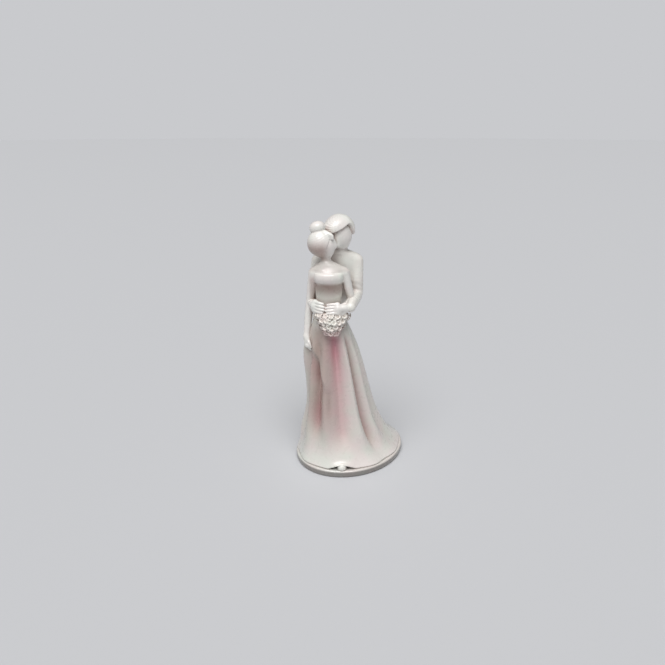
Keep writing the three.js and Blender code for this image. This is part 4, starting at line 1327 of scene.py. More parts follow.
def shoe_form(node: str) -> Form:
    """Sculpts a shoe that points to -Y, with its welt, inside the box of its solid.

    Args:
        node: name of the solid.

    Returns:
        The form.
    """
    low, high = node_box(node)
    x, sole, height = (low[0] + high[0]) / 2, low[2], high[2] - low[2]
    toe, heel, length = low[1], high[1], high[1] - low[1]
    half = (high[0] - low[0]) / 2
    line = [
        (x, toe + 0.95 * half, sole + 0.34 * height),
        (x, toe + 0.5 * length, sole + 0.42 * height),
        (x, heel - 0.9 * half, sole + 0.5 * height),
    ]
    vamp = limb(line, [0.92 * half, 0.8 * half, 0.84 * half], 10)
    back = heel - 0.95 * half
    levels = (sole + 0.4 * height, sole + 0.72 * height)
    ankle = limb([(x, back, level) for level in levels], [0.8 * half, 0.72 * half], 4)
    upper = fuse(0.8, vamp, ankle)

    def distance(p: Points) -> np.ndarray:
        """Distance at some points."""
        up = p[2] - sole
        welt = 0.16 * bell(up - 1.0, 0.22) - 0.14 * bell(up - 0.55, 0.3)
        return soft_max(soft_max(upper(p) + welt, -up, 0.25), up - height, 0.6)

    return distance


# Bride


@dataclass
class Bride:
    """Bare shoulders, arms, head and dressed hair of the bride.

    Attributes:
        head_size: width, depth and height of the head.
        hair: thickness of the hair.
        bun: diameter of the bun.
        hairline: how far the hairline runs back for each millimetre that it falls.
        strand: spacing of the combed strands.
        strand_depth: how deep the comb has pressed.
        head: place and turn of the head.
        jaw_shade: grey painted shade round the jaw.
        chest_shade: grey painted shade at the foot of the neck.
        arm_shade: grey painted shade on the inner side of the right arm.
    """

    head_size: Triple = (12.5, 13.6, 16.5)
    hair: float = 1.6
    bun: float = 10.0
    hairline: float = 0.536
    strand: float = 1.35
    strand_depth: float = 0.04
    head: Pose = Pose((-17.1, -4.7, 147.4), yaw=82, pitch=-14)
    jaw_shade: float = 0.75
    chest_shade: float = 0.3
    arm_shade: float = 0.5

    def skin_forms(self) -> dict[str, Form]:
        """Sculpts the bare parts, one form for each casting."""
        (x, y), neckline = COUPLE.bride, COUPLE.neckline
        rows = [
            (-4.5, 0.0, 0.0, 8.0, 5.2),
            (0.4, 0.0, 0.0, 8.6, 5.5),
            (2.6, -0.2, 0.2, 9.6, 5.0),
            (4.8, -0.8, 0.5, 7.0, 4.4),
            (6.4, -1.5, 0.8, 4.4, 3.9),
            (8.6, -2.2, 1.1, 3.1, 3.2),
            (13.0, -2.8, 1.3, 3.1, 3.2),
        ]
        chest = tower([(neckline + up, x + across, y + back, *half) for up, across, back, *half in rows], 0.6)
        bosom = limb(
            [(x + side * 4.8, y - 3.4 + 0.6 * abs(side), neckline - 3.0) for side in (-1, 0, 1)],
            [3.7, 4.6, 3.7],
            8,
        )
        right = (x - 9.6, y + 0.2, neckline - 0.4)
        left = (x + 9.8, y + 0.2, neckline - 0.2)
        wrist = from_place(COUPLE.grip, 0.3, 0.8, 4.5)
        middle = [(a + b) / 2 for a, b in zip(right, wrist)]
        elbow = (middle[0] - 0.2, middle[1] + 2.4, middle[2])
        bend = (left[0] + 4, y + 1.5, COUPLE.waist + 11)
        upper = tuple((a + b) / 2 for a, b in zip(left, bend))
        skull = egg(self.head, self.head_size, 0.26)
        nose = limb([self.head.offset(0, -5.6, 0.8).at, self.head.offset(0, -6.3, -1.8).at], [0.6, 1.0], 5)
        return {
            "bride_shoulders": fuse(3.0, chest, bosom),
            "bride_head": fuse(2.6, skull, nose),
            "bride_right_arm": limb([right, elbow, wrist], [3.2, 2.9, 2.55, 2.5, 1.9], 18),
            "bride_left_arm": limb(
                [left, upper, bend, from_place(COUPLE.clasp, 8.6, 3.2, 0)], [3.2, 2.9, 2.6, 1.9], 18
            ),
            "bride_right_hand": Hand(
                12.5, 70, 1, from_place(COUPLE.grip, 0.2, 0.4, 3.4), (0.1, -0.1, -1), (-1, -0.35, 0)
            ).form(),
            "bride_left_hand": Hand(
                12.5, 30, 1, from_place(COUPLE.clasp, 7.6, 2, 0), (-1, -0.2, -0.1), (-0.3, -1, 0.2)
            ).form(),
        }

    def hair_forms(self) -> dict[str, Form]:
        """Sculpts the hair, combed back from the face under a rolled bun, with one curl at the brow."""
        width, depth, height = self.head_size
        thick = 2 * self.hair
        centre = self.head.offset(0, 1.3 * self.hair, 0.9 * self.hair)
        mass = egg(centre, (width + thick, depth + thick, 0.88 * height + thick), 0.1)
        knot = self.head.offset(1, 0.14 * depth, 0.68 * height)
        bun = egg(knot, (self.bun, self.bun, 0.82 * self.bun))
        path = [(-1.6, -2.8, 7.4), (-2.6, -4.8, 6.2), (-3.0, -6.2, 4.8), (-3.2, -6.2, 3.4)]
        curl = limb([self.head.offset(*spot).at for spot in path], [1.4, 1.3, 1.2, 1.0], 14)

        def face(p: Points) -> np.ndarray:
            """Space in front of the hairline, which runs from the brow down and back to the jaw."""
            _, y, z = self.head.local(p)
            return (y + 5.3 - self.hairline * (4.2 - z)) / math.hypot(1, self.hairline)

        def combed(p: Points) -> np.ndarray:
            """Strands that run back from the face."""
            x, y, z = self.head.local(p)
            across = z + 0.16 * y + 0.01 * x * x
            return self.strand_depth * np.cos(2 * math.pi * across / self.strand + 0.6 * np.sin(0.45 * y))

        def rolled(p: Points) -> np.ndarray:
            """Coils of the bun."""
            x, y, z = knot.local(p)
            coil = np.cos(2 * math.pi * np.hypot(x, y) / 2.1 + np.arctan2(y, x))
            return self.strand_depth * coil * smooth_step(z, -3.0, 0.5)

        dressed = fuse(1.3, carve(0.7, pressed(mass, combed), face), curl)
        return {"bride_hair": dressed, "bride_bun": pressed(bun, rolled)}

    def shade_neck(self, mesh: bpy.types.Mesh) -> None:
        """Lays grey painted shade round the jaw and the neck.

        Args:
            mesh: a casting's mesh.
        """
        points = OcclusionShadeMap.corners(mesh) - np.array(self.head.at)
        jaw = band(points[:, 2], (-10.5, -7), (-2.5, 5.5)) * (1 - smooth_step(points[:, 0], -2, 4.5))
        chest = band(points[:, 2], (-17, -15), (-9, -6))
        OcclusionShadeMap.lay(mesh, ShadeLayer.HOLLOW, self.jaw_shade * jaw + self.chest_shade * chest)

    def shade_arm(self, mesh: bpy.types.Mesh) -> None:
        """Lays grey painted shade on the side of the upper arm that lies along the bodice.

        Args:
            mesh: the right arm's mesh.
        """
        points = OcclusionShadeMap.corners(mesh)
        inner = smooth_step(points[:, 0] - COUPLE.bride[0], -13.2, -11.0)
        waist, neckline = COUPLE.waist, COUPLE.neckline
        upper = band(points[:, 2], (waist + 1, waist + 8), (neckline - 5, neckline))
        OcclusionShadeMap.lay(mesh, ShadeLayer.HOLLOW, self.arm_shade * inner * upper)

    def build(self, materials: dict[Slot, bpy.types.Material]) -> list[bpy.types.Object]:
        """Casts the bride's pieces and sets them in the frame.

        Args:
            materials: the finishes.

        Returns:
            The pieces.
        """
        hands = {"bride_right_hand": 0.16, "bride_left_hand": 0.16}
        batches = (
            Batch(Slot.SKIN, self.skin_forms(), pitch=0.25, softness=2.4, fine=hands),
            Batch(Slot.HAIR, self.hair_forms(), pitch=0.22, softness=0.5),
            Batch(Slot.SUIT, {"bride_shoe": shoe_form("bride_shoe")}, pitch=0.2),
        )
        pieces = [piece for batch in batches for piece in batch.build(materials)]
        for piece in pieces:
            self.shade_neck(piece.data)
            if piece.name == "cast_bride_right_arm":
                self.shade_arm(piece.data)
        return pieces


# Groom


@dataclass
class Groom:
    """Suit, shoes, hands, head and hair of the groom.

    Attributes:
        head_size: width, depth and height that the hair is fitted to.
        skull_size: width, depth and height of the bare skull.
        hair: thickness of the hair.
        neck: diameter of the neck.
        chest: width and depth of the chest.
        stance: distance between the middles of the legs.
        lock: width, depth and height of the lock that is swept over the brow.
        tilt: how far the hairline rises to the parting, in degrees.
        hairline: level of the brow, place of the temple, levels of the ear and the nape, in heads.
        strands: strands in a full turn about the parting.
        edge: thickness of the hair's edge over the face.
        strand_depth: how deep the comb has pressed.
        seam_depth: how deep the jacket's seams lie.
        crease_depth: how deep the sleeves' creases lie.
        head: place and turn of the head.
    """

    head_size: Triple = (15.0, 17.0, 21.0)
    skull_size: Triple = (16.0, 16.8, 21.0)
    hair: float = 1.8
    neck: float = 8.4
    chest: Pair = (26.0, 16.5)
    stance: float = 10.5
    lock: Triple = (17.0, 16.0, 13.0)
    tilt: float = -11.0
    hairline: tuple[float, float, float, float] = (0.29, 0.08, -0.12, -0.45)
    strands: int = 46
    edge: float = 1.5
    strand_depth: float = 0.07
    seam_depth: float = 0.22
    crease_depth: float = 0.15
    head: Pose = Pose((-8.6, 8.8, 150.63), yaw=-14, pitch=16, roll=-8)

    def head_forms(self) -> dict[str, Form]:
        """Sculpts the head with its neck."""
        (x, y), collar = COUPLE.groom, COUPLE.collar
        throat = limb([(x, y + 0.6, collar - 4.5), self.head.at], [self.neck / 2, self.neck / 2], 6)
        bridge, tip = ((0.9, -7.6, 1.0), (0.9, -8.3, -2.6))
        nose = limb([self.head.offset(*bridge).at, self.head.offset(*tip).at], [0.7, 1.2], 5)
        return {"groom_head": fuse(2.8, self.skull(), throat, nose)}

    def skull(self) -> Form:
        """Sculpts the bare skull."""
        return egg(self.head.offset(0.8, -0.1, -0.2), self.skull_size, 0.35)

    def hair_forms(self) -> dict[str, Form]:
        """Sculpts the hair: a full cap with a lock swept over the brow, cut off along the hairline."""
        thick = 2 * self.hair
        width, depth, height = self.head_size
        cap_size = (width + thick + 1.6, depth + thick, 0.81 * height + thick)
        cap = egg(self.head.offset(0.8, 1.45 * self.hair, 1.45 * self.hair), cap_size, 0.14)
        lock = self.head.offset(-0.09 * width, -0.09 * depth, 0.27 * height)
        swept = egg(lock.rolled(-28), self.lock)
        skull = self.skull()
        brow = self.head.rolled(self.tilt)
        top, temple, ear, nape = (share * height for share in self.hairline)

        def scalp(p: Points) -> np.ndarray:
            """Hair close to the skull, thinning out towards the nape."""
            return skull(p) - self.edge * smooth_step(self.head.local(p)[2], 2 * ear, -ear)

        def bare(p: Points) -> np.ndarray:
            """Space under the brow, in front of the temple, and below the ear and the nape."""
            _, y, z = brow.local(p)
            fall = (ear - nape) / (depth - temple)
            front = soft_max(y - temple, z - top, 4.0)
            below = (z - ear + fall * (y - temple)) / math.hypot(1, fall)
            return -soft_max(-front, -below, 3.5)

        def combed(p: Points) -> np.ndarray:
            """Strands that fan out from the parting."""
            x, y, z = brow.local(p)
            angle = np.arctan2(z - top - 1.5, x - width / 2)
            return self.strand_depth * np.cos(self.strands * angle + 0.8 * np.sin(0.35 * y))

        return {"groom_hair": carve(0.5, pressed(fuse(1.6, cap, swept, scalp), combed), bare)}

    def suit_forms(self) -> dict[str, Form]:
        """Sculpts the jacket, its collar and the sleeves."""
        (x, y), top, hips = COUPLE.groom, COUPLE.collar, COUPLE.groom_hips
        width, depth = (size / 2 for size in self.chest)
        length = top - node_box("groom_jacket")[0][2]
        profile = [
            (1.0, 0.0, 1.0, 0.94, 0.95),
            (0.77, 0.0, 0.6, 0.89, 0.9),
            (0.6, 0.2, 0.2, 0.86, 0.88),
            (0.3, 0.85, 0.0, 0.92, 1.0),
            (0.15, 1.0, 0.0, 1.0, 0.93),
            (0.07, 1.0, 0.0, 1.0, 0.81),
            (0.03, 1.0, 0.0, 0.84, 0.71),
            (0.0, 1.0, 0.0, 0.45, 0.63),
        ]
        rows = [
            (top - drop * length, hips + (x - hips) * lean, y + back, width * wide, depth * deep)
            for drop, lean, back, wide, deep in profile
        ]
        body = tower(rows, 0.9)

        def seams(p: Points) -> np.ndarray:
            """Seam down the middle of the back, open as a vent at the hem, and one down each side."""
            share = np.clip((top - p[2]) / length, 0, 1)
            middle = hips + (x - hips) * smooth_step(1 - share, 0.3, 0.8)
            back = smooth_step(p[1], y + 2, y + 4)
            open_vent = 1 + 4 * smooth_step(share, 0.8, 0.84)
            lines = back * open_vent * bell(p[0] - middle, 0.35)
            for side in (-1, 1):
                lines = lines + back * bell(p[0] - middle - side * (4.5 + 2.5 * share), 0.3)
            return self.seam_depth * lines

        collar_rows = [(top - 1.4, x, y, 6.5, 6.4), (top + 1.7, x, y, 6.0, 5.9), (top + 3.4, x, y, 5.6, 5.5)]
        inner = [(top - 3, x, y, 4.6, 4.6), (top + 5, x, y, 4.6, 4.6)]
        collar = carve(0.4, tower(collar_rows, 0.7), tower(inner, 0.3))
        shoulders = {s: (x + s * 12.2, y, top - 7.6) for s in (-1, 1)}
        level = COUPLE.waist + 11
        left_cuff = from_place(COUPLE.clasp, 11.5, -0.4, 0.2)
        right_cuff = (COUPLE.bride[0] - 11, COUPLE.bride[1] + 1, COUPLE.clasp[2] + 0.5)
        elbows = {1: (shoulders[1][0], y - 5, level), -1: (shoulders[-1][0] - 2.8, y - 1, level)}
        sleeves = {}
        for side, cuff in ((1, left_cuff), (-1, right_cuff)):
            upper = tuple((a + b) / 2 for a, b in zip(shoulders[side], elbows[side]))
            arm = limb([shoulders[side], upper, elbows[side], cuff], [4.7, 4.7, 4.2, 3.2], 20)
            sleeves[side] = pressed(arm, self.creases(elbows[side]))
        return {
            "groom_jacket": pressed(body, seams),
            "groom_collar": collar,
            "groom_left_sleeve": sleeves[1],
            "groom_right_sleeve": sleeves[-1],
        }

    def creases(self, elbow: Triple) -> Callable[[Points], np.ndarray]:
        """Creases of the cloth round an elbow."""

        def depth(p: Points) -> np.ndarray:
            """Depth of the creases at some points."""
            off = p - np.array(elbow, np.float32)[:, None]
            near = bell(np.sqrt((off * off).sum(0)), 9.0)
            wave = np.cos(2 * math.pi * (off[2] + 0.45 * off[1] + 0.3 * off[0]) / 3.4)
            return self.crease_depth * near * (wave - 0.3)

        return depth

    def trouser_form(self) -> Form:
        """Sculpts both legs, with pressed creases and a break over the shoes."""
        hips, y = COUPLE.groom_hips, COUPLE.groom[1]
        low, high = node_box("groom_trousers")
        bottom, top = low[2], high[2]
        rows = [
            (0, 0, 3.2, 4.75),
            (0.1, 0, 2.9, 4.6),
            (0.4, 0, 2.2, 4.8),
            (0.8, 0.1, 2, 5.5),
            (1, 0.3, 1.4, 5.5),
        ]
        legs = []
        for side in (-1, 1):
            x = hips + side * self.stance / 2
            stations = [
                (bottom + (top - bottom) * share, x + (hips - x) * inward, y + back, radius, radius)
                for share, inward, back, radius in rows
            ]
            legs.append(tower(stations, 0.5))

        def folds(p: Points) -> np.ndarray:
            """Break of the cloth just above the shoes and a pressed crease down the back of each leg."""
            up = p[2] - bottom
            breaks = 0.16 * np.cos(2 * math.pi * (up + 0.3 * p[0]) / 5.2) * bell(up - 5, 5.0)
            crease = sum(bell(p[0] - hips - side * self.stance / 2, 0.5) for side in (-1, 1))
            return breaks - 0.3 * crease * smooth_step(up, 2, 14)

        return pressed(fuse(0.8, *legs), folds)

    def hands(self) -> dict[str, Hand]:
        """Gives the hand over the bride's and the one at the bride's side."""
        side = (COUPLE.bride[0] - 10.8, COUPLE.bride[1] - 0.5, COUPLE.clasp[2] + 0.5)
        over = from_place(COUPLE.clasp, 10.0, -1.2, 0.2)
        return {
            "groom_left_hand": Hand(15.8, 30, 1, over, (-1, -0.3, 0), (-0.3, -1, 0.25)),
            "groom_right_hand": Hand(16.4, 54, -1, side, (0.3, -1, 0), (-1, -0.35, 0.15)),
        }

    def build(self, materials: dict[Slot, bpy.types.Material]) -> list[bpy.types.Object]:
        """Casts the groom's pieces and sets them in the frame.

        Args:
            materials: the finishes.

        Returns:
            The pieces.
        """
        shoes = ("groom_right_shoe", "groom_left_shoe")
        batches = (
            Batch(Slot.SUIT, self.suit_forms(), pitch=0.32, softness=2.6),
            Batch(Slot.SUIT, {"groom_trousers": self.trouser_form()}, pitch=0.34),
            *(Batch(Slot.SUIT, {node: shoe_form(node)}, pitch=0.2) for node in shoes),
            Batch(Slot.SKIN, self.head_forms(), pitch=0.24),
            *(Batch(Slot.SKIN, {node: hand.form()}, pitch=0.17) for node, hand in self.hands().items()),
            Batch(Slot.HAIR, self.hair_forms(), pitch=0.22),
        )
        return [piece for batch in batches for piece in batch.build(materials)]


# Posy


@dataclass(frozen=True)
class Petal:
    """One petal, pressed from a ball, in shares of its flower's radius.

    Attributes:
        middle: distance of its middle from the eye.
        length: half its length.
        width: half its width.
        root: share of that width at the root.
        thick: half its thickness.
        notch: depth of the notch at the tip.
        notch_turn: how fast the notch closes to the sides.
        tip: power that keeps the notch at the tip.
        foot: how high it starts above the flower's foot.
        bow: how far it bows up.
        bow_turn: how much of a full bow it makes, in radians.
        cup: how far its sides curl up.
        eye: radius of the bead in the flower's middle.
        eye_level: how high the bead sits.
    """

    middle: float = 0.5
    length: float = 0.45
    width: float = 0.56
    root: float = 0.34
    thick: float = 0.14
    notch: float = 0.12
    notch_turn: float = 4.5
    tip: float = 6.0
    foot: float = 0.14
    bow: float = 0.42
    bow_turn: float = 2.4
    cup: float = 0.16
    eye: float = 0.2
    eye_level: float = 0.34

    def steps(self) -> list[Step]:
        """Gives the nodes that press a petal and set a whorl of them round the eye."""
        eye_at = (0.0, 0.0, self.eye_level)
        return [
            ("ball", "GeometryNodeMeshIcoSphere", {}, {"Radius": 1.0, "Subdivisions": 3}),
            ("place", "GeometryNodeInputPosition", {}, {}),
            ("part", SPLIT, {}, ("place",)),
            ("out", MATH, MULTIPLY_ADD, ("part.X", 0.5, 0.5)),
            # Along: longer than wide, with a notch at the tip
            ("near_tip", MATH, POWER, ("out", self.tip)),
            ("aside", MATH, MULTIPLY, ("part.Y", self.notch_turn)),
            ("cleft", MATH, COSINE, ("aside",)),
            ("cut", MATH, MULTIPLY, ("cleft", -self.notch)),
            ("notched", MATH, MULTIPLY_ADD, ("near_tip", "cut", self.middle)),
            ("along", MATH, MULTIPLY_ADD, ("part.X", self.length, "notched")),
            # Across: narrow at the root
            ("taper", MATH, MULTIPLY_ADD, ("out", 1 - self.root, self.root)),
            ("side", MATH, MULTIPLY, ("part.Y", self.width)),
            ("across", MATH, MULTIPLY, ("side", "taper")),
            # Up: bowed along its length and cupped across it
            ("bend", MATH, MULTIPLY, ("out", self.bow_turn)),
            ("bow", MATH, SINE, ("bend",)),
            ("lift", MATH, MULTIPLY_ADD, ("bow", self.bow, self.foot)),
            ("off", MATH, MULTIPLY, ("part.Y", "part.Y")),
            ("cup", MATH, MULTIPLY_ADD, ("off", self.cup, "lift")),
            ("up", MATH, MULTIPLY_ADD, ("part.Z", self.thick, "cup")),
            ("curled", COMBINE, {}, {"X": "along", "Y": "across", "Z": "up"}),
            ("petal", "GeometryNodeSetPosition", {}, {"Geometry": "ball", "Position": "curled"}),
            # The whorl and its eye
            ("circle", "GeometryNodeMeshCircle", {}, {"Vertices": "Petals", "Radius": 0.02}),
            ("index", "GeometryNodeInputIndex", {}, {}),
            ("turns", MATH, MULTIPLY, ("index", 2 * math.pi)),
            ("turn", MATH, DIVIDE, ("turns", "Petals")),
            ("way", COMBINE, {}, {"Z": "turn"}),
            ("whorl", ON_POINTS, {}, {"Points": "circle", "Instance": "petal", "Rotation": "way"}),
            ("bead", "GeometryNodeMeshIcoSphere", {}, {"Radius": self.eye, "Subdivisions": 2}),
            ("eye", "GeometryNodeTransform", {}, {"Geometry": "bead", "Translation": eye_at}),
            ("flower", "GeometryNodeJoinGeometry", {}, {"Geometry": ["whorl", "eye"]}),
            ("grown", "GeometryNodeTransform", {}, {"Geometry": "flower", "Scale": "Radius"}),
        ]


@dataclass
class Posy:
    """Domed posy of five-petalled blossoms with buds between them.

    Attributes:
        bulge: how far the cushion stands out.
        size: width and height of the cushion.
        taper: how far it narrows at its foot.
        blossom: diameter of a blossom.
        scatter: how far the flowers stray from even rows.
        rows: share of its solids' width that each row of blossoms keeps, from the foot up.
        petal: shape of a petal.
        petals: petals of a blossom.
        seed: fixes the turn and size of each flower.
        sizes: smallest and largest share of a blossom's size.
        bud: size of a bud, as a share of a blossom's.
        crowd: most buds on a square metre.
        rose: pink tint with painted shade on the lowest flowers.
    """

    bulge: float = 7.5
    size: Pair = (22.0, 13.5)
    taper: float = 0.3
    blossom: float = 4.0
    scatter: float = 0.7
    rows: tuple[float, ...] = (0.5, 0.68, 0.74, 1.0)
    petal: Petal = Petal()
    petals: int = 5
    seed: int = 11
    sizes: Pair = (0.92, 1.1)
    bud: float = 0.72
    crowd: float = 9e5
    rose: float = 0.3

    def cushion_form(self) -> Form:
        """Sculpts the cushion under the flowers."""
        at = (COUPLE.bride[0] + 2, COUPLE.bride[1] - 7 - 0.2 * self.bulge, COUPLE.waist - 1)
        width, height = self.size
        heart = egg(Pose(at), (0.72 * width, 2 * self.bulge, height), self.taper)
        brim = egg(Pose(from_place(at, 0, 0.8, 0.26 * height)), (width, 1.7 * self.bulge, 0.46 * height))
        foot = from_place(at, 0, -0.24 * self.bulge, -0.28 * height)
        tail = egg(Pose(foot), (0.5 * width, 1.5 * self.bulge, 0.5 * height))
        return fuse(1.2, heart, brim, tail)

    @staticmethod
    def blossom_nodes() -> list[str]:
        """Names of the blossoms' solids."""
        return sorted(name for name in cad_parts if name.startswith("blossom_"))

    def flower_points(self) -> bpy.types.Mesh:
        """Points of the blossoms, at their solids' places, with the way that each faces."""
        centres = np.array([np.mean(node_box(node), axis=0) for node in self.blossom_nodes()])
        middle, foot, top = centres[:, 0].mean(), centres[:, 2].min(), centres[:, 2].max()
        drawn_in = np.interp(centres[:, 2], np.linspace(foot, top, len(self.rows)), self.rows)
        centres[:, 0] = middle + (centres[:, 0] - middle) * drawn_in
        chance = np.random.default_rng(self.seed)
        centres += chance.uniform(-self.scatter, self.scatter, centres.shape)
        cushion = self.cushion_form()
        step = 0.05
        slopes = [cushion((centres + side).T) - cushion((centres - side).T) for side in step * np.eye(3)]
        normal = np.stack(slopes, -1)
        normal /= np.linalg.norm(normal, axis=1, keepdims=True)
        centres -= normal * cushion(centres.T)[:, None]
        facing = 0.5 * normal + np.array([0.0, -0.6, 0.6]) + chance.uniform(-0.25, 0.25, centres.shape)
        facing /= np.linalg.norm(facing, axis=1, keepdims=True)
        mesh = bpy.data.meshes.new("blossom_places")
        mesh.from_pydata(((centres - 0.35 * facing) * MM).tolist(), [], [])
        way = mesh.attributes.new("facing", "FLOAT_VECTOR", "POINT")
        way.data.foreach_set("vector", facing.astype(np.float32).ravel())
        return mesh

    def steps(self, cushion: bpy.types.Object) -> list[Step]:
        """Gives the nodes that set flowers on the points and buds on the cushion.

        Args:
            cushion: the cushion under the flowers.

        Returns:
            The nodes.
        """
        chance = "FunctionNodeRandomValue"
        least, most = self.sizes
        spread = {"Distance Min": "Bud Spacing", "Density Max": self.crowd, "Seed": "Seed"}
        steps: list[Step] = [
            *self.petal.steps(),
            ("faced", "GeometryNodeInputNamedAttribute", {"data_type": "FLOAT_VECTOR"}, {"Name": "facing"}),
            ("twist", chance, {"data_type": "FLOAT"}, {"Max": 2 * math.pi, "Seed": "Seed"}),
            ("sizes", chance, {"data_type": "FLOAT"}, {"Min": least, "Max": most, "Seed": "Seed"}),
            ("spin", "FunctionNodeAxisAngleToRotation", {}, {"Axis": (0.0, 0.0, 1.0), "Angle": "twist"}),
            # Buds, on the front and the sides of the cushion
            ("ground", "GeometryNodeObjectInfo", {}, {"Object": cushion}),
            ("normal", "GeometryNodeInputNormal", {}, {}),
            ("facing_way", SPLIT, {}, ("normal",)),
            ("in_front", MATH, LESS_THAN, ("facing_way.Y", 0.35)),
            (
                "buds",
                "GeometryNodeDistributePointsOnFaces",
                {"distribute_method": "POISSON"},
                {"Mesh": "ground.Geometry", "Selection": "in_front", **spread},
            ),
        ]
        kinds = (("blossom", "Geometry", "faced", 1.0), ("bud", "buds.Points", "buds.Normal", self.bud))
        for kind, points, way, share in kinds:
            stand, turn, size = kind + "_stand", kind + "_turn", kind + "_size"
            flower = {"Instance": "grown", "Rotation": turn, "Scale": size}
            steps += [
                (stand, "FunctionNodeAlignRotationToVector", {"axis": "Z"}, {"Vector": way}),
                (
                    turn,
                    "FunctionNodeRotateRotation",
                    {"rotation_space": "LOCAL"},
                    {"Rotation": stand, "Rotate By": "spin"},
                ),
                (size, MATH, MULTIPLY, ("sizes", share)),
                (kind + "_flowers", ON_POINTS, {}, {"Points": points, **flower}),
            ]
        both = ["blossom_flowers", "bud_flowers"]
        return [*steps, ("both", "GeometryNodeJoinGeometry", {}, {"Geometry": both})]

    def build(self, materials: dict[Slot, bpy.types.Material]) -> list[bpy.types.Object]:
        """Builds the cushion and its flowers and sets them in the frame.

        Args:
            materials: the finishes.

        Returns:
            The pieces.
        """
        surface = cast(self.cushion_form(), ["posy_cushion"], 0.35, margin=0.6)
        cushion = make_object("posy_cushion_cast", surface)
        cushion.data.materials.append(materials[Slot.POSY])
        values = {
            "Radius": self.blossom / 2 * MM,
            "Petals": self.petals,
            "Seed": self.seed,
            "Bud Spacing": 0.6 * self.blossom * MM,
        }
        places = self.flower_points()
        flowers = grown_piece("posy_blossoms", places, self.steps(cushion), values, materials[Slot.POSY])
        # Pink tint with painted shade on the lowest flowers, fading out upwards
        level = OcclusionShadeMap.corners(flowers.data)[:, 2]
        OcclusionShadeMap.lay(flowers.data, ShadeLayer.ROSE, self.rose * (1 - smooth_step(level - level.min(), 2, 7)))
        nodes = self.blossom_nodes()
        return [
            hand_over(cushion, ["posy_cushion"]),
            hand_over(flowers, nodes),
        ]


# Painted shade in hollows, from how closed-in each place is


@dataclass(frozen=True)
class Sight:
    """One way to see how deep a place lies.

    Attributes:
        reach: how far round it looks.
        step: how far off the surface it looks from.
        open: share of the space that is filled round an open place.
        span: how much more is filled round a deep one.
        weight: its share in the depth.
    """

    reach: float
    step: float
    open: float
    span: float
    weight: float


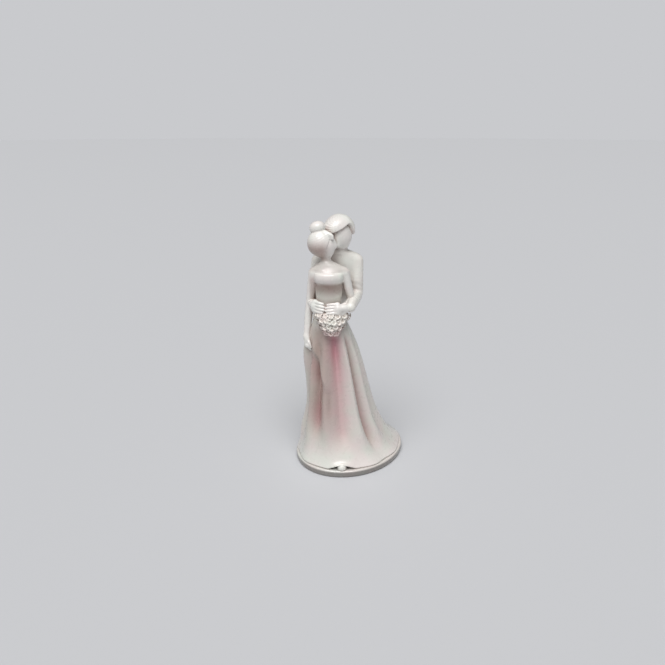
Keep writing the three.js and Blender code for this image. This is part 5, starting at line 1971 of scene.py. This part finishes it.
@dataclass
class OcclusionShadeMap:
    """How deep each place lies among its surroundings, which is laid on as grey painted shade.

    Attributes:
        pitch: spacing of the samples.
        sights: one that sees crevices, and one that sees large hollows.
    """

    pitch: float = 1.0
    sights: tuple[Sight, ...] = (Sight(1.6, 1.2, 0.24, 0.44, 0.4), Sight(5.0, 3.0, 0.28, 0.34, 0.6))

    def filled(self, pieces: list[bpy.types.Object]) -> tuple[np.ndarray, np.ndarray]:
        """Marks the space that the pieces fill.

        Args:
            pieces: all pieces of the object.

        Returns:
            The lowest sample's place and the share of each sample that is filled.
        """
        margin = 12
        low = np.floor(np.array(CAD_BOX[0]) / MM / self.pitch).astype(int) - margin
        high = np.ceil(np.array(CAD_BOX[1]) / MM / self.pitch).astype(int) + margin
        low[2] = -margin
        space = np.zeros(high - low, np.float32)
        grain = openvdb.createLinearTransform(voxelSize=self.pitch)
        for piece in pieces:
            mesh = piece.data
            mesh.calc_loop_triangles()
            corners = np.zeros(3 * len(mesh.loop_triangles), np.int32)
            mesh.loop_triangles.foreach_get("vertices", corners)
            points = self.corners(mesh).astype(np.float32)
            shell = openvdb.FloatGrid.createLevelSetFromPolygons(
                points, triangles=corners.reshape(-1, 3).astype(np.uint32), transform=grain, halfWidth=3.0
            )
            room = np.zeros(space.shape, np.float32)
            shell.copyToArray(room, ijk=tuple(int(v) for v in low))
            space = np.maximum(space, np.clip(0.5 - room / self.pitch, 0, 1))
        return low * self.pitch, space

    @staticmethod
    def corners(mesh: bpy.types.Mesh) -> np.ndarray:
        """Gives a mesh's corners in millimetres."""
        points = np.zeros(3 * len(mesh.vertices), np.float32)
        mesh.vertices.foreach_get("co", points)
        return points.reshape(-1, 3) / MM

    @staticmethod
    def lay(mesh: bpy.types.Mesh, kind: ShadeLayer, amounts: np.ndarray) -> None:
        """Lays painted colour of one kind on the corners of a mesh that don't carry more of it.

        Args:
            mesh: the mesh.
            kind: which layer of painted colour.
            amounts: how much goes on each corner, from 0 to 1.
        """
        layer = mesh.attributes.get(kind.value) or mesh.attributes.new(kind.value, "FLOAT", "POINT")
        carried = np.zeros(len(mesh.vertices), np.float32)
        layer.data.foreach_get("value", carried)
        layer.data.foreach_set("value", np.clip(np.maximum(carried, amounts), 0, 1).astype(np.float32))

    def blurred(self, space: np.ndarray, reach: float) -> np.ndarray:
        """Gives the filled share averaged over a reach."""
        width = int(2.2 * reach)
        taps = np.arange(-width, width + 1)
        weights = np.exp(-0.5 * (taps / reach) ** 2)
        for axis in range(3):
            space = sum(w * np.roll(space, t, axis) for w, t in zip(weights / weights.sum(), taps))
        return space

    def sample(self, space: np.ndarray, low: np.ndarray, points: np.ndarray) -> np.ndarray:
        """Reads a map at some points, smoothly between samples."""
        place = np.clip((points - low) / self.pitch, 0, np.array(space.shape) - 1.001)
        cell = place.astype(int)
        share = place - cell
        total = np.zeros(len(points))
        for corner in np.ndindex(2, 2, 2):
            weight = np.prod(np.where(corner, share, 1 - share), axis=1)
            total += weight * space[tuple((cell + corner).T)]
        return total

    def write(self, pieces: list[bpy.types.Object]) -> None:
        """Writes the map to each piece's points as grey painted shade.

        Args:
            pieces: all pieces of the object.
        """
        low, space = self.filled(pieces)
        maps = [self.blurred(space, sight.reach) for sight in self.sights]
        for piece in pieces:
            mesh = piece.data
            points = self.corners(mesh)
            normals = np.zeros(3 * len(mesh.vertices), np.float32)
            mesh.vertex_normals.foreach_get("vector", normals)
            normals = normals.reshape(-1, 3)
            depth = np.zeros(len(points))
            for sight, filled in zip(self.sights, maps):
                share = self.sample(filled, low, points + sight.step * normals)
                depth += sight.weight * np.clip((share - sight.open) / sight.span, 0, 1)
            self.lay(mesh, ShadeLayer.HOLLOW, depth)


# Studio


@dataclass(frozen=True)
class Lamp:
    """A wide, soft lamp that shines on the middle of the sweep.

    Attributes:
        name: the lamp's name.
        at: where it shines from.
        softness: how wide it looks from the object, in degrees.
        strength: its strength.
    """

    name: str
    at: Triple
    softness: float
    strength: float

    def build(self) -> None:
        """Adds the lamp to the scene."""
        data = bpy.data.lights.new(self.name, "SUN")
        data.angle = math.radians(self.softness)
        data.energy = self.strength
        lamp = bpy.data.objects.new(self.name, data)
        lamp.location = Vector(self.at) * MM
        lamp.rotation_euler = (-Vector(self.at)).to_track_quat("-Z", "Y").to_euler()
        bpy.context.scene.collection.objects.link(lamp)


@dataclass
class Studio:
    """Pale sweep, soft lamps and the camera at the photograph's angle.

    Attributes:
        camera: its place.
        down: how far it looks down, in degrees.
        lens: focal length.
        sensor: width of the picture behind the lens.
        sweep: colour of the floor and the backdrop.
        sweep_radius: radius of the floor.
        sweep_gap: how far it lies below the plinth.
        room: strength of the room's even light.
        lamps: the lamps.
    """

    camera: Triple = (-12.185, -347.112, 217.783)
    down: float = 20.5
    lens: float = 30.3
    sensor: float = 36.0
    sweep: str = "#C9CACD"
    sweep_radius: float = 9000.0
    sweep_gap: float = 0.05
    room: float = 0.12
    lamps: tuple[Lamp, ...] = (
        Lamp("overhead", (-60, -250, 600), 50, 3.0),
        Lamp("front_fill", (300, -600, 260), 90, 0.1),
    )

    def build(self) -> None:
        """Builds the floor, the lamps, the sky and the camera."""
        self.floor()
        for lamp in self.lamps:
            lamp.build()
        scene = bpy.context.scene
        scene.world = self.sky()
        scene.view_settings.view_transform = "Standard"
        data = bpy.data.cameras.new("camera")
        data.lens = self.lens
        data.sensor_width = self.sensor
        data.clip_start, data.clip_end = 0.01, 20
        camera = bpy.data.objects.new("camera", data)
        camera.location = Vector(self.camera) * MM
        camera.rotation_euler = (math.radians(90 - self.down), 0, 0)
        scene.collection.objects.link(camera)
        scene.camera = camera

    def floor(self) -> None:
        """Builds the wide floor."""
        angle = np.linspace(0, 2 * math.pi, 96, endpoint=False)
        x, y = self.sweep_radius * np.cos(angle), self.sweep_radius * np.sin(angle)
        points = np.stack([x, y, np.full_like(angle, -self.sweep_gap)], -1)
        mesh = bpy.data.meshes.new("sweep")
        mesh.from_pydata((points * MM).tolist(), [], [list(range(len(angle)))])
        floor = bpy.data.objects.new("sweep", mesh)
        bpy.context.scene.collection.objects.link(floor)
        material = bpy.data.materials.new("matt_paper_sweep")
        material.use_nodes = True
        shader = material.node_tree.nodes["Principled BSDF"]
        shader.inputs["Base Color"].default_value = linear(self.sweep)
        shader.inputs["Roughness"].default_value = 0.9
        floor.data.materials.append(material)

    def sky(self) -> bpy.types.World:
        """Builds the even room light, which the camera sees as the sweep's own pale colour."""
        world = bpy.data.worlds.new("studio")
        world.use_nodes = True
        tree = world.node_tree
        tree.nodes.clear()
        steps: list[Step] = [
            ("ray", "ShaderNodeLightPath", {}, {}),
            ("room", "ShaderNodeBackground", {}, {"Color": linear("#FFFFFF"), "Strength": self.room}),
            ("paper", "ShaderNodeBackground", {}, {"Color": linear(self.sweep), "Strength": 1.0}),
            ("sky", "ShaderNodeMixShader", {}, ("ray.Is Camera Ray", "room", "paper")),
            ("end", "ShaderNodeOutputWorld", {}, {"Surface": "sky"}),
        ]
        add_nodes(tree, steps, {})
        return world


def main() -> None:
    """Builds the topper piece by piece, then the studio round it."""
    logging.basicConfig(level=logging.INFO, format="%(name)s: %(message)s")
    materials = {slot: finish.build() for slot, finish in FINISHES.items()}
    plinth = Plinth()
    pieces: list[bpy.types.Object] = []
    for part in (plinth, Gown(plinth), Bride(), Groom(), Posy()):
        pieces += part.build(materials)
    OcclusionShadeMap().write(pieces)
    Studio().build()


if __name__ == "__main__":
    main()
